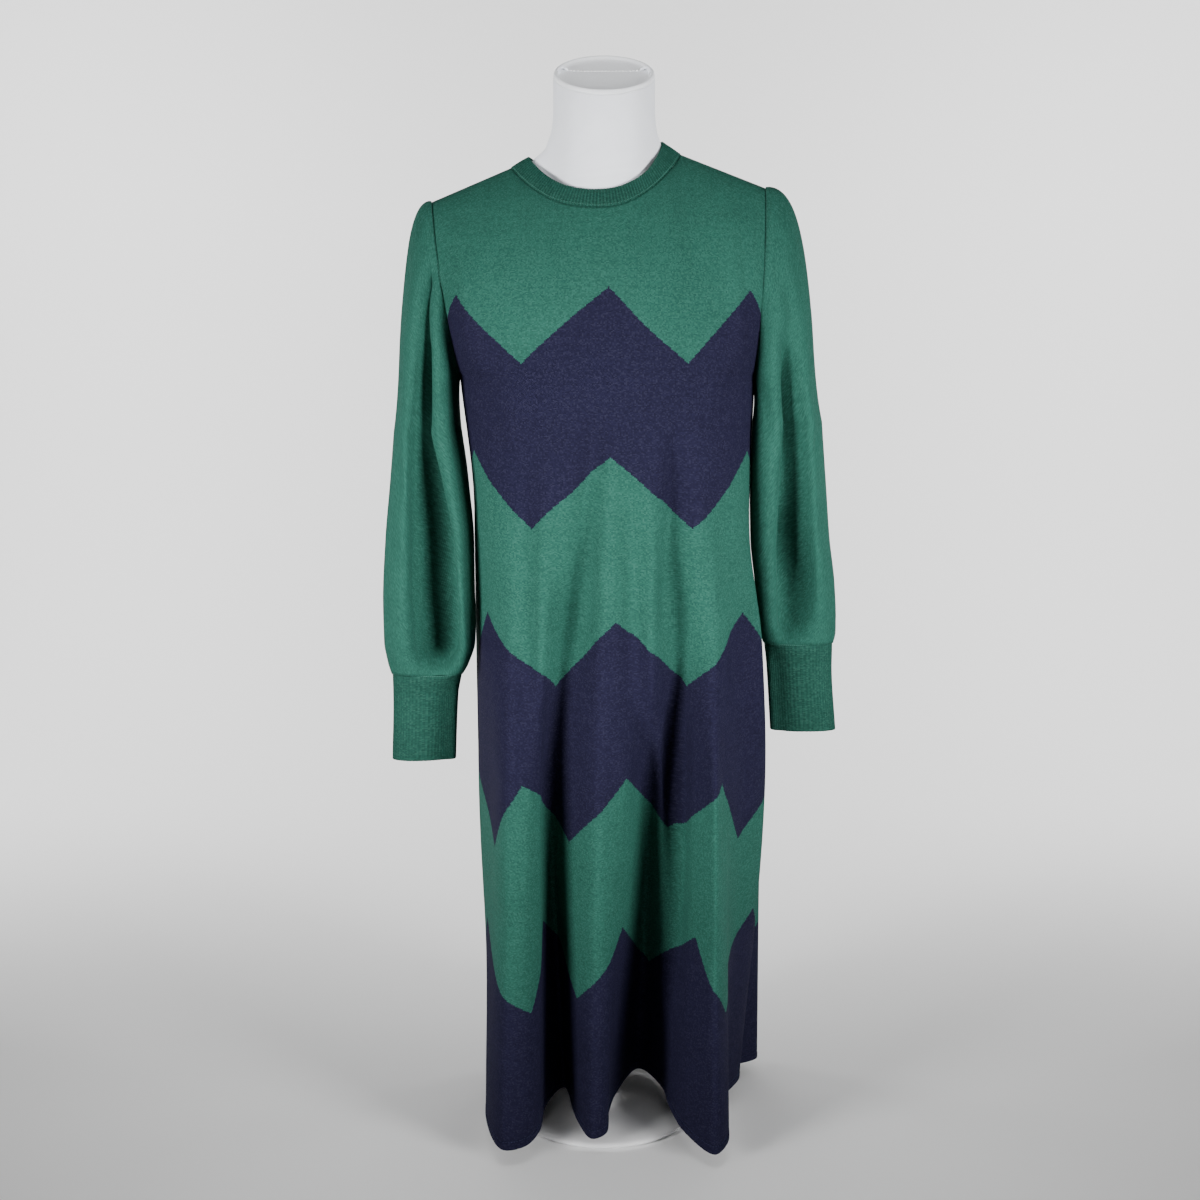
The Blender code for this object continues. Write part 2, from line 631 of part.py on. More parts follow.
def build_form(parent):
    stacked("form_torso", [form_ring(*row) for row in FORM_RINGS], WHITE_JERSEY, parent)
    stacked("form_neck_cap", [form_ring(*row) for row in NECK_CAP], WHITE_JERSEY, parent)
    stacked("form_collar", turned(COLLAR_PROFILE), WHITE_ENAMEL, parent)
    stacked("form_pole", turned(POLE_PROFILE), WHITE_ENAMEL, parent)
    stacked("form_base", turned(BASE_PROFILE), WHITE_ENAMEL, parent)


clear_scene()
stand = bpy.data.objects.new("dress_on_form", None)
bpy.context.scene.collection.objects.link(stand)
build_dress(stand)
build_cuffs(stand)
build_form(stand)
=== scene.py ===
"""The looks of a knit midi dress on a limbless dress form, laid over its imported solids.

The front of the dress faces -Y, and left is the viewer's left, -X. Sizes are in
millimetres, and MM turns them into metres.
"""
import math

import bmesh
import bpy
import numpy as np
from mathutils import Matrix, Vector


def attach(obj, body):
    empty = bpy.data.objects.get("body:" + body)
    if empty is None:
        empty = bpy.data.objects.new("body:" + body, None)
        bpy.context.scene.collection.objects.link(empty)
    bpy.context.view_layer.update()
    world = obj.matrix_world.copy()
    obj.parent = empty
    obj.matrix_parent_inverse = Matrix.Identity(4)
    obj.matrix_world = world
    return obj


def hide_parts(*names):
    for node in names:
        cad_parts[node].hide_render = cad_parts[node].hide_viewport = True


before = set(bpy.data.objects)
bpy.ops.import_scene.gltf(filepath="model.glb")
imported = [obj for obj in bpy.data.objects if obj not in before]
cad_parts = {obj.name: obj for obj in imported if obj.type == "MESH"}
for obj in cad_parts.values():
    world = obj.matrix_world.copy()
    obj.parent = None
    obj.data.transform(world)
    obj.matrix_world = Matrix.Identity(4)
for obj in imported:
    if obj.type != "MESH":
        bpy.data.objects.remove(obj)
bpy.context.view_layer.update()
MM = 0.001

# ---- Studio ------------------------------------------------------------------------------
# The dress is photographed from the front, slightly from above, on a pale sweep of floor
# and wall. Two soft lights at waist height stand well out to the sides, which leaves the
# folds dark between their crests. A weak one hangs above, and two light the wall behind.
CAMERA_PLACE = (-0.0047, -2.2, 1.0431)
CAMERA_TURN = math.radians(80)
CAMERA_LENS = 55.62
SENSOR_WIDTH = 36.0


def new_object(name, data, material=None):
    made = bpy.data.objects.new(name, data)
    bpy.context.scene.collection.objects.link(made)
    if material is not None:
        made.data.materials.append(material)
    return made


camera_data = bpy.data.cameras.new("camera")
camera_data.sensor_width = SENSOR_WIDTH
camera_data.lens = CAMERA_LENS
camera = new_object("camera", camera_data)
camera.location = CAMERA_PLACE
camera.rotation_euler = (CAMERA_TURN, 0, 0)
bpy.context.scene.camera = camera

# Lights: name, place, aim, width, height, spread in degrees, watts
LIGHTS = (
    ("left_box", (-1.62, -1.58, 0.80), (0, -0.08, 0.74), 0.8, 0.6, 50, 10),
    ("right_box", (1.62, -1.58, 0.80), (0, -0.08, 0.74), 0.8, 0.6, 50, 10),
    ("ceiling_light", (0, -0.4, 2.9), (0, 0, 1.0), 1.2, 1.2, 150, 9),
    ("left_wall_light", (-1.6, 0.9, 1.6), (-0.9, 2.8, 1.1), 1.0, 1.4, 180, 60),
    ("right_wall_light", (1.6, 0.9, 1.6), (0.9, 2.8, 1.1), 1.0, 1.4, 180, 60),
)
for name, place, aim, width, height, spread, watts in LIGHTS:
    light_data = bpy.data.lights.new(name, "AREA")
    light_data.spread = math.radians(spread)
    light_data.shape = "RECTANGLE"
    light_data.size = width
    light_data.size_y = height
    light_data.energy = watts
    light = new_object(name, light_data)
    light.location = place
    light.rotation_euler = (Vector(aim) - Vector(place)).to_track_quat("-Z", "Y").to_euler()

WORLD_STRENGTH = 0.12
world = bpy.data.worlds.new("pale_room")
world.use_nodes = True
world.node_tree.nodes["Background"].inputs["Color"].default_value = (1, 1, 1, 1)
world.node_tree.nodes["Background"].inputs["Strength"].default_value = WORLD_STRENGTH
bpy.context.scene.world = world


class Wire:
    """A socket in a node tree, on which Python's operators add the Math nodes they mean."""

    def __init__(self, tree, socket=None):
        self.tree = tree
        self.socket = socket

    def node(self, kind, settings, inputs, output=0):
        """Adds a node with its settings, then its inputs, and gives one of its outputs."""
        made = self.tree.nodes.new(kind)
        for name, value in settings.items():
            setattr(made, name, value)
        for name, value in inputs.items():
            if isinstance(value, Wire):
                self.tree.links.new(value.socket, made.inputs[name])
            else:
                made.inputs[name].default_value = value
        return Wire(self.tree, made.outputs[output] if made.outputs else None)

    def __add__(self, other):
        return maths("ADD", self, other)

    def __sub__(self, other):
        return maths("SUBTRACT", self, other)

    def __rsub__(self, other):
        return self.node("ShaderNodeMath", {"operation": "SUBTRACT"}, {0: other, 1: self})

    def __mul__(self, other):
        return maths("MULTIPLY", self, other)

    def __truediv__(self, other):
        return maths("DIVIDE", self, other)

    __radd__ = __add__
    __rmul__ = __mul__


def maths(operation, *values):
    """A Math node's result, from values of which the first is a wire."""
    return values[0].node("ShaderNodeMath", {"operation": operation}, dict(enumerate(values)))


def scaled(wire, vector, factor):
    """A colour or a direction times a number."""
    return wire.node("ShaderNodeVectorMath", {"operation": "SCALE"}, {0: vector, "Scale": factor})


def noise(place, scale, detail=2.0):
    """Soft cloudy noise round 0.5."""
    return place.node(
        "ShaderNodeTexNoise", {}, {"Vector": place, "Scale": scale, "Detail": detail})


def bump(height, strength, distance):
    """A normal tilted by a height, of which 1 stands for a distance in metres."""
    return height.node(
        "ShaderNodeBump", {}, {"Height": height, "Strength": strength, "Distance": distance})


def new_material(name):
    """An empty material, and a wire to begin its nodes with."""
    made = bpy.data.materials.new(name)
    made.use_nodes = True
    made.node_tree.nodes.clear()
    return made, Wire(made.node_tree)


def surfaced(wire, inputs):
    """Ends a material with one Principled shader."""
    shader = wire.node("ShaderNodeBsdfPrincipled", {}, inputs)
    wire.node("ShaderNodeOutputMaterial", {}, {"Surface": shader})


pale_paper, paper_wire = new_material("pale_paper")
paper_grain = paper_wire.node("ShaderNodeTexNoise", {}, {"Scale": 3.0, "Detail": 3.0})
surfaced(paper_wire, {
    "Base Color": (0.93, 0.93, 0.93, 1), "Roughness": 0.9 + 0.05 * paper_grain,
})

SWEEP_FRONT = -3.2
SWEEP_BEND = 1.6
SWEEP_RADIUS = 1.2
SWEEP_HALF_WIDTH = 4.0
SWEEP_TOP = 4.0
SWEEP_STEPS = 25
FLOOR_Z = -0.0005
bend = [
    (SWEEP_BEND + SWEEP_RADIUS * math.sin(turn), FLOOR_Z + SWEEP_RADIUS * (1 - math.cos(turn)))
    for turn in np.linspace(0, math.pi / 2, SWEEP_STEPS)
]
sweep_line = [(SWEEP_FRONT, FLOOR_Z)] + bend + [(SWEEP_BEND + SWEEP_RADIUS, SWEEP_TOP)]
sweep_mesh = bpy.data.meshes.new("paper_sweep")
sweep_mesh.from_pydata(
    [(side * SWEEP_HALF_WIDTH, y, z) for y, z in sweep_line for side in (-1, 1)], [],
    [(2 * k, 2 * k + 1, 2 * k + 3, 2 * k + 2) for k in range(len(sweep_line) - 1)],
)
sweep_mesh.shade_smooth()
new_object("paper_sweep", sweep_mesh, pale_paper)


# ---- Front and back panels ---------------------------------------------------------------
# The body of the dress is two fine-gauge knitted panels of soft viscose yarn, green with
# bands of navy worked in. They are shaped on the machine and linked at sides and shoulders,
# hang smooth to the waist and fall from there in deep uneven folds.
CLOTH = 1.9
SEAM_DRAW = -0.11
SEAM_DIP = 0.25
MM_PER_DEGREE = 0.75
TINY = 1e-9
CURVE_STEPS = 16

BUST_Z = 925.0
WAIST_Z = 765.0
HIP_Z = 600.0
MID_Z = 440.0
BUST_OVAL = (-170.0, 177.0, -122.0, 104.0)
WAIST_OVAL = (-155.0, 173.0, -112.0, 100.0)
OVAL_POWER = 2.2

# Fold lines, each panel's from one side seam to the last before the other: name, columns to
# the next, turn round the waist in degrees, x and y at the hip, half way down and at the hem,
# height of the hem
FRONT_FOLDS = (
    ("left seam", 2, 0, -155, 8, -155, 22, -134, 18, 25),
    ("first flank", 3, 28, -138, -54, -138, -50, -145, -72, 28),
    ("first crest", 1, 47, -110, -99, -112, -126, -120, -151, 20),
    ("first dip", 2, 56, -88, -101, -90, -123, -93, -143, 21),
    ("first edge", 2, 64, -72, -106, -75, -104, -78, -118, 26),
    ("first wall", 2, 69, -60, -94, -73, -76, -71, -56, 32),
    ("first valley", 3, 76, -47, -80, -64, -60, -50, 0, 30),
    ("second flank", 2, 82, -31, -86, -42, -82, -33, -88, 28),
    ("second crest", 1, 87, -6, -113, -8, -117, -15, -126, 22),
    ("second crease", 2, 92, 12, -112, 9, -111, 2, -118, 24),
    ("second edge", 2, 96, 30, -104, 28, -97, 6, -68, 28),
    ("second wall", 2, 100, 42, -106, 42, -66, 16, -26, 35),
    ("second valley", 2, 105, 55, -108, 54, -50, 44, 31, 41),
    ("small crest", 1, 110, 69, -92, 70, -62, 73, -24, 40),
    ("small valley", 2, 116, 84, -77, 88, -58, 80, -70, 36),
    ("third flank", 2, 124, 99, -84, 108, -96, 97, -118, 26),
    ("third crest", 2, 135, 127, -99, 129, -129, 131, -157, 17),
    ("third edge", 2, 143, 141, -84, 142, -100, 148, -136, 22),
    ("third wall", 1, 150, 149, -64, 152, -76, 147, -62, 24),
    ("side valley", 2, 158, 162, -44, 166, -48, 149, -16, 22),
    ("side crest", 2, 168, 190, -19, 197, -10, 174, 38, 26),
)
BACK_FOLDS = (
    ("right seam", 2, 179, 182, 13, 186, 42, 160, 74, 22),
    ("right corner", 3, 200, 188, 54, 198, 82, 204, 120, 17),
    ("fourth crest", 2, 222, 152, 91, 160, 130, 164, 168, 17),
    ("fourth edge", 2, 236, 116, 99, 121, 124, 120, 160, 18),
    ("third back valley", 3, 246, 89, 86, 92, 94, 90, 92, 24),
    ("fifth crest", 2, 258, 57, 108, 60, 126, 58, 156, 17),
    ("fifth edge", 2, 270, 13, 109, 14, 124, 12, 157, 17),
    ("middle back valley", 3, 282, -22, 88, -18, 90, -18, 82, 25),
    ("sixth crest", 2, 294, -57, 102, -54, 120, -56, 152, 17),
    ("sixth edge", 2, 309, -95, 91, -94, 112, -94, 142, 18),
    ("left back valley", 2, 320, -115, 68, -113, 86, -116, 92, 23),
    ("left corner", 2, 338, -145, 50, -146, 66, -138, 78, 20),
)
FINE_COLUMNS = 5
# Heights above the hem of the rows that shape its turned edge and its stitch line
HEM_ROWS = (0.0, 0.5, 1.4, 3.5, 6.5, 8.6, 9.4, 10.0, 10.6, 11.4, 14.0, 19.0)
HEM_STITCH_Z = 10.0
HEM_ROLL, HEM_ROLL_REACH = 0.9, 0.6
HEM_LIFT, HEM_LIFT_TOP = 0.35, 9.0
HEM_DRAW, HEM_DRAW_REACH = 0.55, 0.8
ABOVE_HEM = 99.0
# Columns from the sides and rows from the top over which the creases fade out
HOLD_COLUMNS = 6
HOLD_ROWS = 8
FINE_SKIRT_ROWS = 100
FINE_YOKE_ROWS = 56

LEFT_TIP = (-201.0, 2.0, 1124.0)
RIGHT_TIP = (188.0, 2.0, 1140.0)
FRONT_NECKLINE = (
    (-108, 2, 1163), (-86, -34, 1142), (-56, -64, 1124), (-18, -79, 1117),
    (20, -77, 1120), (53, -52, 1138), (76, -26, 1160), (89, 2, 1178),
)
BACK_NECKLINE = (
    (89, 2, 1178), (76, 34, 1168), (44, 60, 1158), (-6, 70, 1151),
    (-58, 60, 1148), (-94, 34, 1154), (-108, 2, 1163),
)
LEFT_SHOULDER_COLUMNS = 6 * FINE_COLUMNS
RIGHT_SHOULDER_COLUMNS = 11 * FINE_COLUMNS
ARMHOLE_BOW = 57.0
ARMHOLE_SHAPE = 0.7
ARMHOLE_REACH = 0.32
YOKE_LIFT = 0.42
SHOULDER_RUN = (60.0, 22.0)
NECK_RUN = (42.0, 66.0)

# Soft creases: x and height of one end, x and height of the other, width, depth. A ridge has
# a depth below nought.
FRONT_CREASES = (
    # Drags from the underarms
    (-158, 938, -112, 842, 12, 3.0), (-157, 900, -132, 800, 9, 2.2),
    (166, 940, 118, 856, 12, 2.8), (168, 886, 150, 790, 9, 2.2),
    # Hollows of the chest, and pulls at the shoulders
    (-128, 1080, -92, 985, 26, 1.8), (118, 1092, 92, 990, 24, 1.8),
    (-182, 1112, -128, 1100, 9, 1.4), (172, 1126, 122, 1118, 10, 1.4),
    # Puckers under the neckband
    (-58, 1112, -66, 1082, 6, 0.8), (-12, 1106, -14, 1070, 7, 0.9), (34, 1112, 40, 1078, 6, 0.8),
    # Starts of the valleys, and the ripples and ridges between them
    (-92, 860, -88, 520, 11, 4.0), (-66, 880, -70, 560, 10, -3.0), (-6, 905, -40, 590, 15, 14.0),
    (4, 880, 4, 600, 13, -5.0), (30, 860, 40, 500, 11, 5.0), (56, 840, 58, 520, 9, -2.4),
    (84, 900, 79, 590, 15, 18.0), (86, 620, 80, 150, 13, 12.0), (112, 840, 108, 630, 12, -2.6),
    (138, 800, 144, 640, 11, 3.2), (-140, 760, -142, 600, 10, 2.4),
    # Breaks and ripples on the crests
    (-126, 330, -108, 210, 12, 2.6), (-100, 470, -104, 330, 10, 2.0), (-18, 260, -4, 130, 9, 2.0),
    (118, 360, 132, 230, 12, 2.4), (110, 520, 116, 400, 10, 2.2),
    # Waves at the hem
    (-112, 120, -108, 30, 14, 2.4), (120, 130, 116, 28, 14, 2.4),
)
BACK_CREASES = (
    # Drags from the underarms
    (160, 938, 110, 850, 12, 3.0), (-152, 936, -104, 846, 12, 2.8),
    # Hollows at the shoulder blades
    (108, 1084, 84, 960, 26, 2.2), (-116, 1072, -88, 954, 26, 2.0),
    # Puckers under the neckband
    (30, 1136, 34, 1100, 8, 0.9), (-46, 1132, -50, 1094, 8, 0.9),
    # Starts of the valleys, and the ripples and ridges between them
    (94, 900, 88, 590, 15, 11.0), (62, 860, 56, 640, 15, -2.4), (22, 840, 16, 600, 15, 2.6),
    (-14, 890, -21, 600, 14, 9.0), (-62, 850, -58, 620, 12, 3.4), (-108, 860, -114, 580, 13, 8.0),
    (-132, 780, -138, 600, 11, 2.0),
    # Breaks of the seat and on the crests
    (138, 520, 146, 380, 12, 2.6), (52, 400, 62, 250, 12, 2.4), (-62, 350, -50, 210, 12, 2.6),
    # Waves at the hem
    (150, 140, 144, 30, 14, 2.4), (-74, 120, -76, 28, 14, 2.4),
)


def unit(vectors):
    return vectors / np.maximum(np.linalg.norm(vectors, axis=-1, keepdims=True), TINY)


def eased(at, levels, values):
    """The smooth line through values at rising levels, which never overshoots them."""
    levels = np.asarray(levels, float)
    values = np.asarray(values, float)
    steps = np.diff(levels)
    slopes = np.diff(values) / steps
    tangents = np.zeros(len(levels))
    tangents[0] = slopes[0]
    tangents[-1] = slopes[-1]
    for i in range(1, len(levels) - 1):
        if slopes[i - 1] * slopes[i] > 0:
            tangents[i] = 2.0 / (1.0 / slopes[i - 1] + 1.0 / slopes[i])
    i = int(np.clip(np.searchsorted(levels, at) - 1, 0, len(steps) - 1))
    t = float(np.clip((at - levels[i]) / steps[i], 0.0, 1.0))
    start = (1 + 2 * t) * (1 - t) ** 2 * values[i] + t * (1 - t) ** 2 * steps[i] * tangents[i]
    end = t * t * (3 - 2 * t) * values[i + 1] + t * t * (t - 1) * steps[i] * tangents[i + 1]
    return start + end


def row_at(rows, z):
    """The columns of a table of heights and sizes, eased between its rows to one height."""
    levels, *columns = zip(*sorted(rows))
    return [eased(z, levels, column) for column in columns]


def mixed(one, other, start, end, at):
    return ((end - at) * one + (at - start) * other) / (end - start)


def curve_between(before, start, end, after, t):
    """A point on the centripetal Catmull-Rom curve from start to end."""
    a = max(np.linalg.norm(start - before), TINY) ** 0.5
    b = a + max(np.linalg.norm(end - start), TINY) ** 0.5
    c = b + max(np.linalg.norm(after - end), TINY) ** 0.5
    at = a + (b - a) * t
    middle = mixed(start, end, a, b, at)
    lower = mixed(mixed(before, start, 0, a, at), middle, 0, b, at)
    upper = mixed(middle, mixed(end, after, b, c, at), a, c, at)
    return mixed(lower, upper, a, b, at)


def led_over(start, leave, arrive, end, t):
    """Points on the curves that leave start for one point and reach end from another."""
    return ((1 - t) ** 3 * start + 3 * t * (1 - t) ** 2 * leave
            + 3 * t * t * (1 - t) * arrive + t ** 3 * end)


def along(line, fractions):
    """Points at fractions of the length of a line of points."""
    lengths = np.concatenate(([0.0], np.cumsum(np.linalg.norm(np.diff(line, axis=0), axis=1))))
    places = np.asarray(fractions) * lengths[-1]
    return np.stack([np.interp(places, lengths, line[:, axis]) for axis in range(3)], axis=1)


def smooth_line(points, closed=False):
    """A fine line along the smooth curve through the given points."""
    points = np.asarray(points, float)
    if closed:
        padded = np.vstack((points[-1:], points, points[:2]))
    else:
        padded = np.vstack((2 * points[0] - points[1], points, 2 * points[-1] - points[-2]))
    fine = [
        curve_between(*padded[k:k + 4], t)
        for k in range(len(padded) - 3)
        for t in np.linspace(0, 1, CURVE_STEPS, endpoint=False)
    ]
    return np.vstack((fine, padded[-2]))


def oval_point(oval, turn):
    """A point of the smooth body, turned round from the left side by way of the front."""
    left, right, front, back = oval
    across = math.cos(math.radians(turn))
    deep = math.sin(math.radians(turn))
    power = 2 / OVAL_POWER
    x = (left + right) / 2 - (right - left) / 2 * math.copysign(abs(across) ** power, across)
    depth = -front if deep >= 0 else back
    y = -depth * math.copysign(abs(deep) ** power, deep)
    return x, y


def fold_point(fold, above_hem):
    """A fold line's point at a height above its hem, as a share of the way to the bust."""
    _, _, turn, hip_x, hip_y, mid_x, mid_y, hem_x, hem_y, hem_z = fold
    z = hem_z + (BUST_Z - hem_z) * above_hem
    return np.array((*row_at((
        (hem_z, hem_x, hem_y), (MID_Z, mid_x, mid_y), (HIP_Z, hip_x, hip_y),
        (WAIST_Z, *oval_point(WAIST_OVAL, turn)), (BUST_Z, *oval_point(BUST_OVAL, turn)),
    ), z), z))


def skirt_rings():
    """The grids of front and back points from the hem up to the bust."""
    folds = FRONT_FOLDS + BACK_FOLDS
    front_columns = sum(fold[1] for fold in FRONT_FOLDS) * FINE_COLUMNS
    hem_shares = np.array(HEM_ROWS) / BUST_Z
    rest = np.linspace(hem_shares[-1], 1, FINE_SKIRT_ROWS - len(HEM_ROWS) + 2)[1:]
    rings = []
    for share in np.concatenate((hem_shares, rest)):
        points = [fold_point(fold, share) for fold in folds]
        count = len(points)
        ring = []
        for k, fold in enumerate(folds):
            near = [points[(k + step) % count] for step in (-1, 0, 1, 2)]
            columns = fold[1] * FINE_COLUMNS
            ring += [curve_between(*near, t / columns) for t in range(columns)]
        rings.append(ring + [ring[0]])
    rings = np.array(rings)
    return rings[:, :front_columns + 1], rings[:, front_columns:]


def armhole(side_point, tip, facing):
    """The armhole's points from the underarm to the shoulder tip, bowed to front or back."""
    share = np.linspace(0, 1, FINE_YOKE_ROWS + 1)[:, None]
    line = side_point * (1 - share) + np.asarray(tip) * share
    line[:, 1] += facing * ARMHOLE_BOW * np.sin(np.pi * share[:, 0]) ** ARMHOLE_SHAPE
    return line


def yoke(ring, facing, neckline, tips, shoulder_columns):
    """The rows of a panel above the bust, up to its shoulder seams and neckline."""
    columns = len(ring) - 1
    first, last = shoulder_columns
    neck = columns - first - last
    top = np.vstack((
        along(np.array((tips[0], neckline[0]), float), np.linspace(0, 1, first + 1))[:-1],
        along(smooth_line(neckline), np.linspace(0, 1, neck + 1)),
        along(np.array((neckline[-1], tips[1]), float), np.linspace(0, 1, last + 1))[1:],
    ))
    share = np.linspace(0, 1, FINE_YOKE_ROWS + 1)[:, None]
    rows = []
    for j in range(columns + 1):
        inside = np.clip(min(j - first, columns - last - j) / (neck / 2), 0, 1)
        slope = math.sin(inside * math.pi / 2)
        out, down = np.array(SHOULDER_RUN) * (1 - slope) + np.array(NECK_RUN) * slope
        low = ring[j] + np.array((0, 0, YOKE_LIFT * (top[j][2] - ring[j][2])))
        high = top[j] + np.array((0, facing * out, -down))
        rows.append(led_over(ring[j], low, high, top[j], share))
    grid = np.stack(rows, axis=1)
    for edge, tip, inward in ((0, tips[0], 1), (columns, tips[1], -1)):
        pull = armhole(ring[edge], tip, facing) - grid[:, edge]
        for j in range(columns + 1):
            near = max(0.0, 1 - inward * (j - edge) / (ARMHOLE_REACH * columns)) ** 2
            grid[:, j] += pull * near
    return grid[1:]


def grid_normals(grid, closed=False):
    """Unit normals of a grid of points, rows by columns."""
    if closed:
        round_about = np.roll(grid, -1, axis=1) - np.roll(grid, 1, axis=1)
    else:
        round_about = np.gradient(grid, axis=1)
    return unit(np.cross(round_about, np.gradient(grid, axis=0)))


def creased(grid, rise, across, creases, hold):
    """The grid with soft creases pressed in, faded out where hold is nought."""
    places = np.stack((across, grid[..., 2]), axis=-1)
    pressed = np.zeros(across.shape)
    for start_across, start_z, end_across, end_z, width, depth in creases:
        start = np.array((start_across, start_z), float)
        run = np.array((end_across, end_z)) - start
        offset = places - start
        share = np.clip(offset @ run / (run @ run), 0, 1)
        away = np.linalg.norm(offset - share[..., None] * run, axis=-1)
        middle = np.clip(4 * share * (1 - share), 0, 1)
        taper = middle * middle * (3 - 2 * middle)
        pressed += depth * taper * np.exp(-(away / width) ** 2)
    return grid - rise * (pressed * hold)[..., None]


def creased_tube(grid, rise, turns, creases, hold):
    """The tube's grid with creases pressed in whose places round it are in degrees."""
    creases = [
        (start * MM_PER_DEGREE, start_z, end * MM_PER_DEGREE, end_z, width, depth)
        for start, start_z, end, end_z, width, depth in creases
    ]
    across = np.broadcast_to(np.degrees(turns) * MM_PER_DEGREE, grid.shape[:2])
    return creased(grid, rise, across, creases, hold[:, None])


def knit_places(grid, closed=False):
    """Each point's place in the flat knit, in mm: across from the first column, and up."""
    ring = np.concatenate((grid, grid[:, :1]), axis=1) if closed else grid
    steps = np.linalg.norm(np.diff(ring, axis=1), axis=2)
    across = np.concatenate((np.zeros((len(ring), 1)), np.cumsum(steps, axis=1)), axis=1)
    rises = np.linalg.norm(np.diff(ring, axis=0), axis=2)
    up = np.concatenate((np.zeros((1, ring.shape[1])), np.cumsum(rises, axis=0)), axis=0)
    return across, up


def sheet_mesh(name, grid, across, up, closed=False, flip=False):
    """A mesh of quads through a grid of points, with the places in the knit as a UV map."""
    rows, columns = grid.shape[:2]
    i, j = np.meshgrid(
        np.arange(rows - 1), np.arange(columns if closed else columns - 1), indexing="ij")
    corners = [(i, j), (i, j + 1), (i + 1, j + 1), (i + 1, j)]
    if flip:
        corners = corners[::-1]
    faces = np.stack([a * columns + b % columns for a, b in corners], axis=-1).reshape(-1, 4)
    mesh = bpy.data.meshes.new(name)
    mesh.from_pydata((grid.reshape(-1, 3) * MM).tolist(), [], faces.tolist())
    places = np.stack((across, up), axis=-1) * MM
    layer = mesh.uv_layers.new(name="knit")
    layer.data.foreach_set("uv", np.stack([places[a, b] for a, b in corners], axis=-2).ravel())
    mesh.shade_smooth()
    return mesh


def draw_in(edge, beside, rise):
    """Moves a seam edge a little off the cloth beside it and presses it in."""
    edge += unit(beside - edge) * SEAM_DRAW - rise * SEAM_DIP


def welded(mesh):
    """Joins the points of a mesh that lie in one place."""
    editing = bmesh.new()
    editing.from_mesh(mesh)
    bmesh.ops.remove_doubles(editing, verts=editing.verts[:], dist=1e-6)
    editing.to_mesh(mesh)
    editing.free()


def walled(piece):
    """Gives a sheet of cloth its thickness, inwards."""
    solid = piece.modifiers.new("cloth", "SOLIDIFY")
    solid.thickness = CLOTH * MM
    solid.offset = -1
    solid.use_even_offset = False


front_skirt, back_skirt = skirt_rings()
shoulders = (LEFT_SHOULDER_COLUMNS, RIGHT_SHOULDER_COLUMNS)
front_smooth = np.concatenate((front_skirt, yoke(
    front_skirt[-1], -1, FRONT_NECKLINE, (LEFT_TIP, RIGHT_TIP), shoulders)))
back_smooth = np.concatenate((back_skirt, yoke(
    back_skirt[-1], 1, BACK_NECKLINE, (RIGHT_TIP, LEFT_TIP), shoulders[::-1])))
UNDERARM_ROW = len(front_skirt) - 1


def finished_panel(smooth, creases):
    """A panel with its creases, its hem turned and stitched, and its seam edges drawn in."""
    rise = grid_normals(smooth)
    rows, columns = smooth.shape[:2]
    from_side = np.minimum(np.arange(columns), columns - 1 - np.arange(columns))
    from_top = rows - 1 - np.arange(rows)
    hold_side = np.clip(from_side / HOLD_COLUMNS, 0, 1)
    hold = hold_side[None, :] * np.clip(from_top / HOLD_ROWS, 0, 1)[:, None]
    grid = creased(smooth, rise, smooth[..., 0], creases, hold)
    above_hem = np.concatenate((HEM_ROWS, np.full(rows - len(HEM_ROWS), ABOVE_HEM)))
    turned_edge = HEM_LIFT * (above_hem < HEM_LIFT_TOP) - HEM_ROLL * np.exp(
        -above_hem / HEM_ROLL_REACH)
    stitch_line = -HEM_DRAW * np.exp(-((above_hem - HEM_STITCH_Z) / HEM_DRAW_REACH) ** 2)
    grid += rise * (turned_edge + stitch_line)[:, None, None]
    draw_in(grid[:, 0], grid[:, 1], rise[:, 0])
    draw_in(grid[:, -1], grid[:, -2], rise[:, -1])
    draw_in(grid[-1], grid[-2], rise[-1])
    return grid, rise


front_grid, front_rise = finished_panel(front_smooth, FRONT_CREASES)
back_grid, back_rise = finished_panel(back_smooth, BACK_CREASES)


def panel_places(grid):
    """Places in a panel's knit, of which every course runs level from side to side."""
    across, up = knit_places(grid)
    skirt = up[UNDERARM_ROW]
    level = skirt.mean()
    up = np.where(up < skirt, up * level / skirt, up - skirt + level)
    return across, up


front_across, front_up = panel_places(front_smooth)
back_across, back_up = panel_places(back_smooth)
front_half = front_across[:, -1:] / 2
back_from_seam = np.minimum(back_across, back_across[:, -1:] - back_across)

# The knit: width and height of a stitch, and how a stitch's legs slant
WALE = 0.0018
COURSE = 0.0013
LEG_SLANT = 1.3
GREEN_YARN = (0.0175, 0.0780, 0.0580)
NAVY_YARN = (0.0105, 0.0100, 0.0265)
# The worked-in bands: zigzags of equal height, each as wide as the green between them
ZIGZAG_WIDTH = 0.190
ZIGZAG_HEIGHT = 0.085
BAND_HEIGHT = 0.190
LOWEST_BAND = -0.030
BANDS_TOP = 1.000


def split(place):
    """A place's two coordinates."""
    across = place.node("ShaderNodeSeparateXYZ", {}, {0: place}, "X")
    return across, Wire(place.tree, across.socket.node.outputs["Y"])


def stitch_relief(across, up):
    """The height of plain knit, from 0 to 1: columns of stitches, each with two slanting legs."""
    leg = maths("ABSOLUTE", maths("FRACT", across / WALE) - 0.5)
    bead = maths("COSINE", (up / COURSE + leg * LEG_SLANT) * math.tau)
    return maths("SINE", leg * math.tau) * (0.72 + 0.28 * bead)


def yarn(colour):
    """A plain colour as a wire's maker, for knitted()."""
    return lambda wale, course: colour


